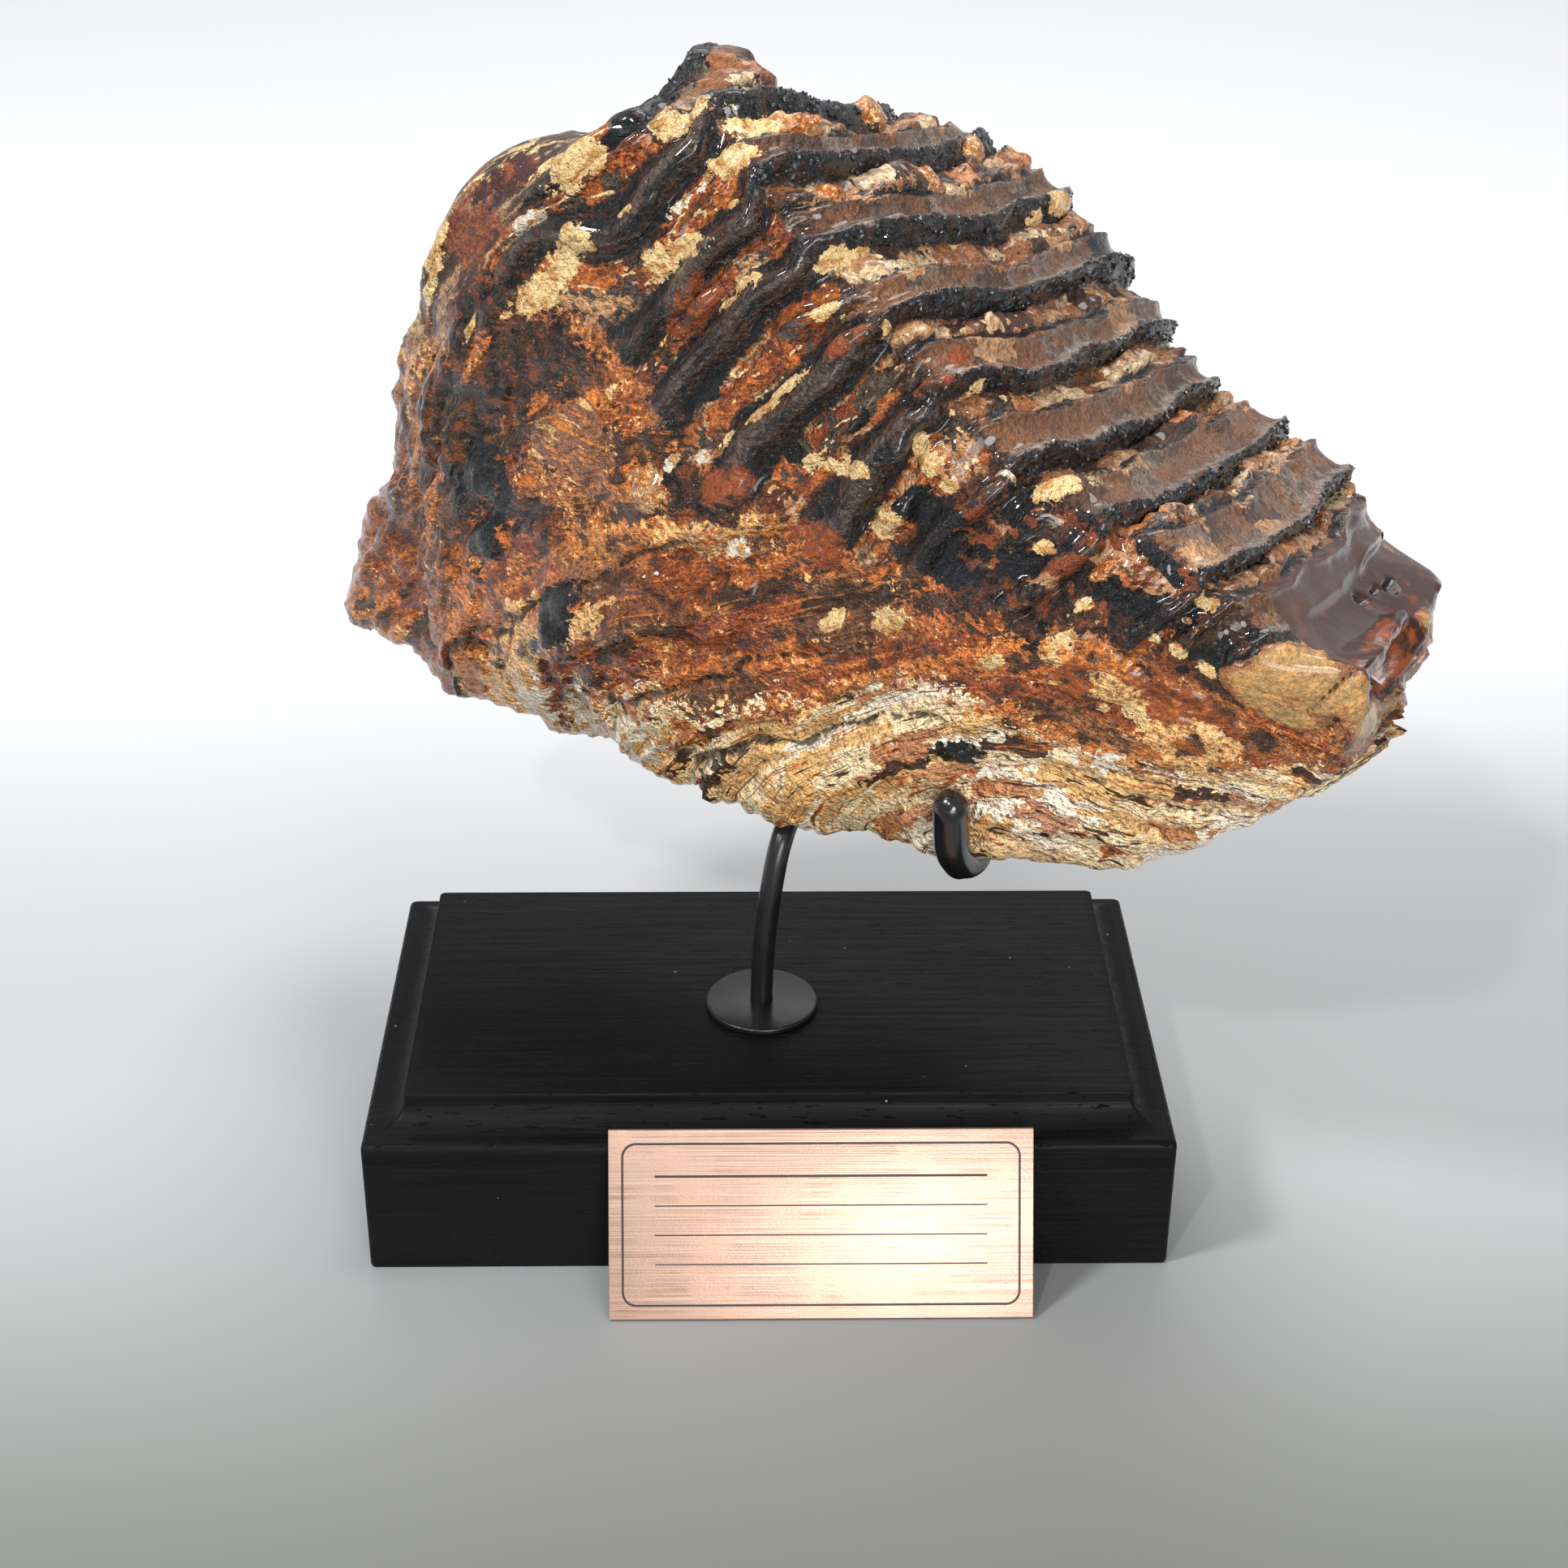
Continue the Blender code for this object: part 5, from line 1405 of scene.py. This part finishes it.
def smooth_path(route):
    """A Catmull-Rom curve through the route's points, in metres, at an even spacing."""
    knots = [Vector(point) * MM for point in route]
    knots = [2 * knots[0] - knots[1]] + knots + [2 * knots[-1] - knots[-2]]
    path = []
    for before, start, end, after in zip(knots, knots[1:], knots[2:], knots[3:]):
        count = max(1, round((end - start).length / PATH_SPACING))
        for step in range(count):
            t = step / count
            bend = 2 * before - 5 * start + 4 * end - after
            twist = 3 * start - before - 3 * end + after
            path.append(0.5 * (2 * start + (end - before) * t + bend * t**2 + twist * t**3))
    path.append(knots[-2])
    return path


def keep_clear(surface, path, clear):
    for index, point in enumerate(path):
        place, normal, _, _ = surface.find_nearest(point)
        height = (point - place).dot(normal)
        if height < clear:
            path[index] = point + normal * (clear - height)


def lie_against(surface, path, radius):
    """Bends a path so that a rod of the given radius lies just clear of the tooth."""
    clear = radius + TOUCH_GAP
    for _ in range(4):
        keep_clear(surface, path, clear)
        eased = [(a + 2 * b + c) / 4 for a, b, c in zip(path, path[1:], path[2:])]
        path = [path[0], *eased, path[-1]]
    keep_clear(surface, path, clear)
    return path


def refine(path, parts=4):
    """The same path with more points, as a smooth curve."""
    knots = [2 * path[0] - path[1]] + list(path) + [2 * path[-1] - path[-2]]
    fine = []
    for before, start, end, after in zip(knots, knots[1:], knots[2:], knots[3:]):
        for step in range(parts):
            t = step / parts
            bend = 2 * before - 5 * start + 4 * end - after
            twist = 3 * start - before - 3 * end + after
            fine.append(0.5 * (2 * start + (end - before) * t + bend * t**2 + twist * t**3))
    fine.append(path[-1])
    return fine


def path_from_end(path, length):
    """The first stretch of a path, as long as given."""
    stretch = [path[0]]
    for start, end in zip(path, path[1:]):
        room = length - sum((b - a).length for a, b in zip(stretch, stretch[1:]))
        if (end - start).length >= room:
            stretch.append(start + (end - start).normalized() * room)
            break
        stretch.append(end)
    return stretch


def tube_recipe(material):
    """A round tube along a line of points, as thick at each point as its radius field says."""
    recipe = Recipe("tube_along_route", (("Sides", "Int"),))
    line = recipe.node("GeometryNodeMeshToCurve", {"Mesh": recipe.inputs["Geometry"]})
    radius = recipe.node("GeometryNodeInputNamedAttribute", {"Name": "thickness"}, data_type="FLOAT")
    thick = recipe.node(
        "GeometryNodeSetCurveRadius", {"Curve": line.outputs[0], "Radius": radius.outputs[0]}
    )
    circle = recipe.node(
        "GeometryNodeCurvePrimitiveCircle", {"Resolution": recipe.inputs["Sides"], "Radius": 1.0}
    )
    sockets = {"Curve": thick.outputs[0], "Profile Curve": circle.outputs[0], "Fill Caps": True}
    swept = recipe.node("GeometryNodeCurveToMesh", sockets)
    if "Scale" in swept.inputs:
        recipe.tree.links.new(radius.outputs[0], swept.inputs["Scale"])
    welded = recipe.node("GeometryNodeMergeByDistance", {"Geometry": swept.outputs[0], "Distance": 2e-6})
    recipe.finish(welded.outputs[0], material)
    return recipe


def line_mesh(name, path, radii):
    mesh = bpy.data.meshes.new(name)
    edges = [(index, index + 1) for index in range(len(path) - 1)]
    mesh.from_pydata([tuple(point) for point in path], edges, [])
    mesh.attributes.new("thickness", "FLOAT", "POINT").data.foreach_set("value", radii)
    return mesh


def round_mesh_off(piece):
    form = bmesh.new()
    form.from_mesh(piece.data)
    bmesh.ops.recalc_face_normals(form, faces=form.faces)
    form.to_mesh(piece.data)
    form.free()
    piece.data.shade_smooth()
    piece.data.set_sharp_from_angle(angle=math.radians(50))


def build_rod(recipe, path, name):
    """A rod with a small chamfer at both of its ends."""
    path = refine(path)
    ends = ((path[0], path[1]), (path[-1], path[-2]))
    tips = [tip + (inner - tip).normalized() * 0.3 * MM for tip, inner in ends]
    line = [path[0], tips[0], *path[1:-1], tips[1], path[-1]]
    radii = [ROD_RADIUS - 0.3 * MM] + [ROD_RADIUS] * (len(line) - 2) + [ROD_RADIUS - 0.3 * MM]
    piece = recipe.make(name, line_mesh(name, line, radii), {"Sides": ROD_SIDES})
    round_mesh_off(piece)
    return piece


def build_sleeve(recipe, path, length, name):
    """A soft sleeve drawn over a rod's end, domed over the tip and rolled at its mouth."""
    stretch = refine(path_from_end(path, length), 6)
    outward = (stretch[0] - stretch[1]).normalized()
    cap = SLEEVE_RADIUS + TOUCH_GAP
    dome, dome_radii = [], []
    for step in range(12):
        turn = math.radians(89.0 - 89.0 * step / 12)
        dome.append(stretch[0] + outward * cap * math.sin(turn))
        dome_radii.append(SLEEVE_RADIUS * math.cos(turn))
    mouth = (stretch[-1] - stretch[-2]).normalized()
    line = dome + stretch + [stretch[-1] + mouth * 0.01 * MM, stretch[-1] - mouth * 0.5 * MM]
    radii = dome_radii + [SLEEVE_RADIUS] * len(stretch)
    radii += [SLEEVE_RADIUS - 0.55 * MM, ROD_RADIUS - 0.2 * MM]
    piece = recipe.make(name, line_mesh(name, line, radii), {"Sides": SLEEVE_SIDES})
    round_mesh_off(piece)
    return piece


def paint_black(name, roughness, grain, metallic=0.0, coat=0.0):
    paint = Finish(name)
    where = paint.place_in_mm()
    fine = paint.noise(where, grain, 3, 0.6)
    wide = paint.noise(where, 12.0, 2)
    colour = paint.mix_colours(srgb(14, 14, 16), srgb(26, 26, 29), paint.rise(wide, 0.35, 0.65))
    rough = paint.mix_numbers(roughness - 0.05, roughness + 0.08, fine)
    paint.shader.inputs["Metallic"].default_value = metallic
    paint.shader.inputs["Coat Weight"].default_value = coat
    paint.shader.inputs["Coat Roughness"].default_value = 0.15
    return paint.wear((colour, rough), paint.times(fine, 0.04))


# --- name plate ---------------------------------------------------------------------------------


def plate_to_world(form, lowest):
    """Leans a plate that was made upright and flat, and moves it against the nosing."""
    turn = math.cos(PLATE_LEAN), math.sin(PLATE_LEAN)
    rest_y = -PLINTH_DEPTH / 2 - TOUCH_GAP
    lean_height = FACE_HEIGHT + NOSING_RADIUS / 2
    back_y = PLATE_THICKNESS / turn[0] + (lean_height + lowest) * math.tan(PLATE_LEAN)
    for vert in form.verts:
        depth, height = vert.co.y, vert.co.z
        vert.co.x += PLATE_X
        vert.co.y = depth * turn[0] + height * turn[1] + rest_y - back_y
        vert.co.z = height * turn[0] - depth * turn[1] - lowest


def build_name_plate():
    """The plate, and how far below its own foot its lowest edge comes when it leans back."""
    form = bmesh.new()
    bmesh.ops.create_cube(form, size=1.0)
    bmesh.ops.scale(form, vec=(PLATE_WIDTH, PLATE_THICKNESS, PLATE_HEIGHT), verts=form.verts)
    bmesh.ops.translate(form, vec=(0, PLATE_THICKNESS / 2, PLATE_HEIGHT / 2), verts=form.verts)
    bmesh.ops.bevel(
        form, geom=list(form.edges), offset=0.16 * MM, segments=3, profile=0.5, affect="EDGES"
    )
    up, back = math.cos(PLATE_LEAN), math.sin(PLATE_LEAN)
    lowest = min(vert.co.z * up - vert.co.y * back for vert in form.verts)
    plate_to_world(form, lowest)
    return object_from_bmesh(form, "name_plate_copper", math.radians(40)), lowest


def flat_ring(form, outer, inner, front, back):
    """A closed band between two loops of (x, z) points, from its front to its back in y."""
    layers = []
    for loop, depth in ((outer, front), (inner, front), (inner, back), (outer, back)):
        layers.append([form.verts.new((x, depth, z)) for x, z in loop])
    for here, after in zip(layers, layers[1:] + layers[:1]):
        for index in range(len(here)):
            other = (index + 1) % len(here)
            form.faces.new((here[index], here[other], after[other], after[index]))


def build_plate_lines(lowest):
    """The thin printed border with rounded corners, and plain ruled lines inside it."""
    form = bmesh.new()
    margin, line = 2.1 * MM, 0.38 * MM
    width, height = PLATE_WIDTH - 2 * margin, PLATE_HEIGHT - 2 * margin
    outer = rounded_rectangle(width, height, 2.4 * MM, 10, 6)
    inner = rounded_rectangle(width - 2 * line, height - 2 * line, 2.4 * MM - line, 10, 6)
    lift = PLATE_HEIGHT / 2
    front, back = -0.02 * MM, 0.05 * MM
    outer = [(x, z + lift) for x, z in outer]
    inner = [(x, z + lift) for x, z in inner]
    flat_ring(form, outer, inner, front, back)
    for centre_x, centre_z, long, thick in RULED_LINES:
        corners = rounded_rectangle(long * MM, thick * MM, 0.45 * thick * MM, 4, 2)
        layers = []
        for depth in (front, back):
            points = [(x + centre_x * MM, depth, z + centre_z * MM) for x, z in corners]
            layers.append([form.verts.new(point) for point in points])
        for index in range(len(corners)):
            other = (index + 1) % len(corners)
            form.faces.new((layers[0][index], layers[0][other], layers[1][other], layers[1][index]))
        form.faces.new(layers[0])
        form.faces.new(layers[1])
    plate_to_world(form, lowest)
    return object_from_bmesh(form, "name_plate_lines")


# Ruled lines on the plate, in millimetres: middle x, middle height, length and thickness
RULED_LINES = (
    (0, 23.4, 54, 0.42), (0, 18.6, 54, 0.22), (0, 13.8, 54, 0.22), (0, 9.0, 54, 0.22),
)


def paint_copper():
    paint = Finish("brushed_rose_copper")
    where = paint.place_in_mm()
    brush = paint.noise(paint.stretch(where, (30.0, 0.12, 0.12)), 1.0, 3, 0.7)
    blotch = paint.noise(where, 9.0, 3)
    grit = paint.noise(where, 0.35, 2)
    colour = paint.mix_colours(srgb(158, 118, 100), srgb(224, 196, 178), paint.rise(brush, 0.3, 0.7))
    colour = paint.mix_colours(colour, srgb(206, 170, 150), paint.rise(blotch, 0.4, 0.7))
    rough = paint.mix_numbers(0.34, 0.5, brush)
    paint.shader.inputs["Metallic"].default_value = 0.75
    height = paint.moved(paint.times(brush, 0.02), grit, 0.03)
    return paint.wear((colour, rough), height)


def paint_ink():
    paint = Finish("black_printed_line")
    where = paint.place_in_mm()
    fine = paint.noise(where, 0.3, 2)
    colour = paint.mix_colours(srgb(34, 26, 24), srgb(52, 40, 36), fine)
    return paint.wear((colour, 0.5), paint.times(fine, 0.02))


# --- studio -------------------------------------------------------------------------------------


def build_camera():
    data = bpy.data.cameras.new("studio_camera")
    data.lens = 60.23
    data.sensor_width = 36
    camera = make_object("studio_camera", data)
    right = Vector((0.99987553, -0.01483833, 0.00536256))
    up = Vector((0.00261855, 0.49123687, 0.87102209))
    back = Vector((-0.0155588, -0.87089963, 0.49121458))
    turned = Matrix((right, up, back)).transposed().to_4x4()
    turned.translation = (-0.004178, -0.38022, 0.28545)
    camera.matrix_world = turned
    bpy.context.scene.camera = camera


def build_floor():
    form = bmesh.new()
    bmesh.ops.create_circle(form, cap_ends=True, segments=96, radius=6)
    floor = object_from_bmesh(form, "studio_floor")
    paint = Finish("pale_studio_floor")
    where = paint.place_in_mm()
    depth = paint.node("ShaderNodeSeparateXYZ", {0: where}).outputs["Y"]
    # Darkest in a band about 130 to 300 mm in front of the stand and paler again further forward: painted
    # shade over the front of the floor. Behind the stand it turns white.
    pale = paint.sum(paint.rise(depth, -130, 20), paint.rise(depth, -300, -600))
    colour = paint.mix_colours(srgb(112, 114, 109), srgb(182, 184, 185), pale)
    colour = paint.mix_colours(colour, srgb(244, 244, 245), paint.rise(depth, 20, 300))
    fine = paint.noise(where, 3.0, 2)
    floor.data.materials.append(paint.wear((colour, 0.6), paint.times(fine, 0.01)))


def add_light(name, place, target, size, power, colour=(1, 1, 1)):
    data = bpy.data.lights.new(name, "AREA")
    data.shape = "DISK"
    data.size = size
    data.energy = power
    data.color = colour
    light = make_object(name, data)
    light.location = place
    aim = Vector(target) - Vector(place)
    light.rotation_euler = aim.to_track_quat("-Z", "Y").to_euler()


def light_studio():
    world = bpy.data.worlds.new("pale_world")
    world.use_nodes = True
    world.node_tree.nodes["Background"].inputs["Color"].default_value = (0.95, 0.97, 1, 1)
    world.node_tree.nodes["Background"].inputs["Strength"].default_value = 0.42
    bpy.context.scene.world = world
    middle = (0, 0, 0.11)
    add_light("window", (-0.7, -0.35, 0.95), middle, 0.22, 8.0, (0.97, 0.98, 1))
    add_light("ceiling", (0.25, 0.15, 1.25), middle, 0.5, 6.0)
    add_light("front_fill", (0.30, -1.05, 0.33), middle, 0.36, 4.6)
    add_light("glint", (-0.30, -0.70, 0.80), middle, 0.05, 2.2)
    add_light("low_fill", (0.08, -0.62, 0.04), middle, 0.25, 1.2, (1, 0.96, 0.9))
    add_light("wall_wash", (0, 1.6, 1.8), (0, 1.2, 0), 1.6, 13)
    bpy.context.scene.view_settings.view_transform = "Standard"


def main():
    fossil = paint_tooth()
    skin = build_tooth()
    grain_paint = paint_grains()
    grains = grains_recipe(grain_paint).make(
        "enamel_grains",
        skin.data.copy(),
        {"Grain size": 0.42 * MM, "Grains per square metre": 4.5e5, "Seed": 7},
    )
    hold_in_box(grains, "tooth")
    fit(skin, "tooth", fossil)
    fit(grains, "tooth", grain_paint)

    fit(build_plinth(), "plinth", paint_wood())
    steel = paint_black("black_lacquered_rod", 0.32, 1.2, coat=0.2)
    fit(build_flange(), "flange", steel)
    rubber = paint_black("black_gloss_sleeve", 0.2, 2.5, coat=0.6)
    tooth_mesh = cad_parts["tooth"].data
    surface = BVHTree.FromPolygons(
        [vert.co for vert in tooth_mesh.vertices], [face.vertices for face in tooth_mesh.polygons]
    )
    stem = smooth_path(STEM_ROUTE)
    keep_clear(surface, stem, ROD_RADIUS + 2 * TOUCH_GAP)
    cradle = lie_against(surface, smooth_path(CRADLE_ROUTE), SLEEVE_RADIUS)
    left_arm = lie_against(surface, smooth_path(LEFT_ARM_ROUTE), SLEEVE_RADIUS)
    rods = tube_recipe(steel)
    for path, name in ((stem, "stem_rod"), (cradle, "cradle_rod"), (left_arm, "left_arm_rod")):
        fit(build_rod(rods, path, name), "support_rod", steel)
    sleeves = tube_recipe(rubber)
    for path, length, node in (
        (cradle, FRONT_SLEEVE_LENGTH, "front_hook_sleeve"),
        (cradle[::-1], REAR_SLEEVE_LENGTH, "rear_prong_sleeve"),
        (left_arm[::-1], REAR_SLEEVE_LENGTH, "left_prong_sleeve"),
    ):
        fit(build_sleeve(sleeves, path, length, node + "_soft"), node, rubber)

    name_plate, lowest = build_name_plate()
    fit(name_plate, "name_plate", paint_copper())
    fit(build_plate_lines(lowest), "name_plate", paint_ink())

    build_floor()
    light_studio()
    build_camera()


main()
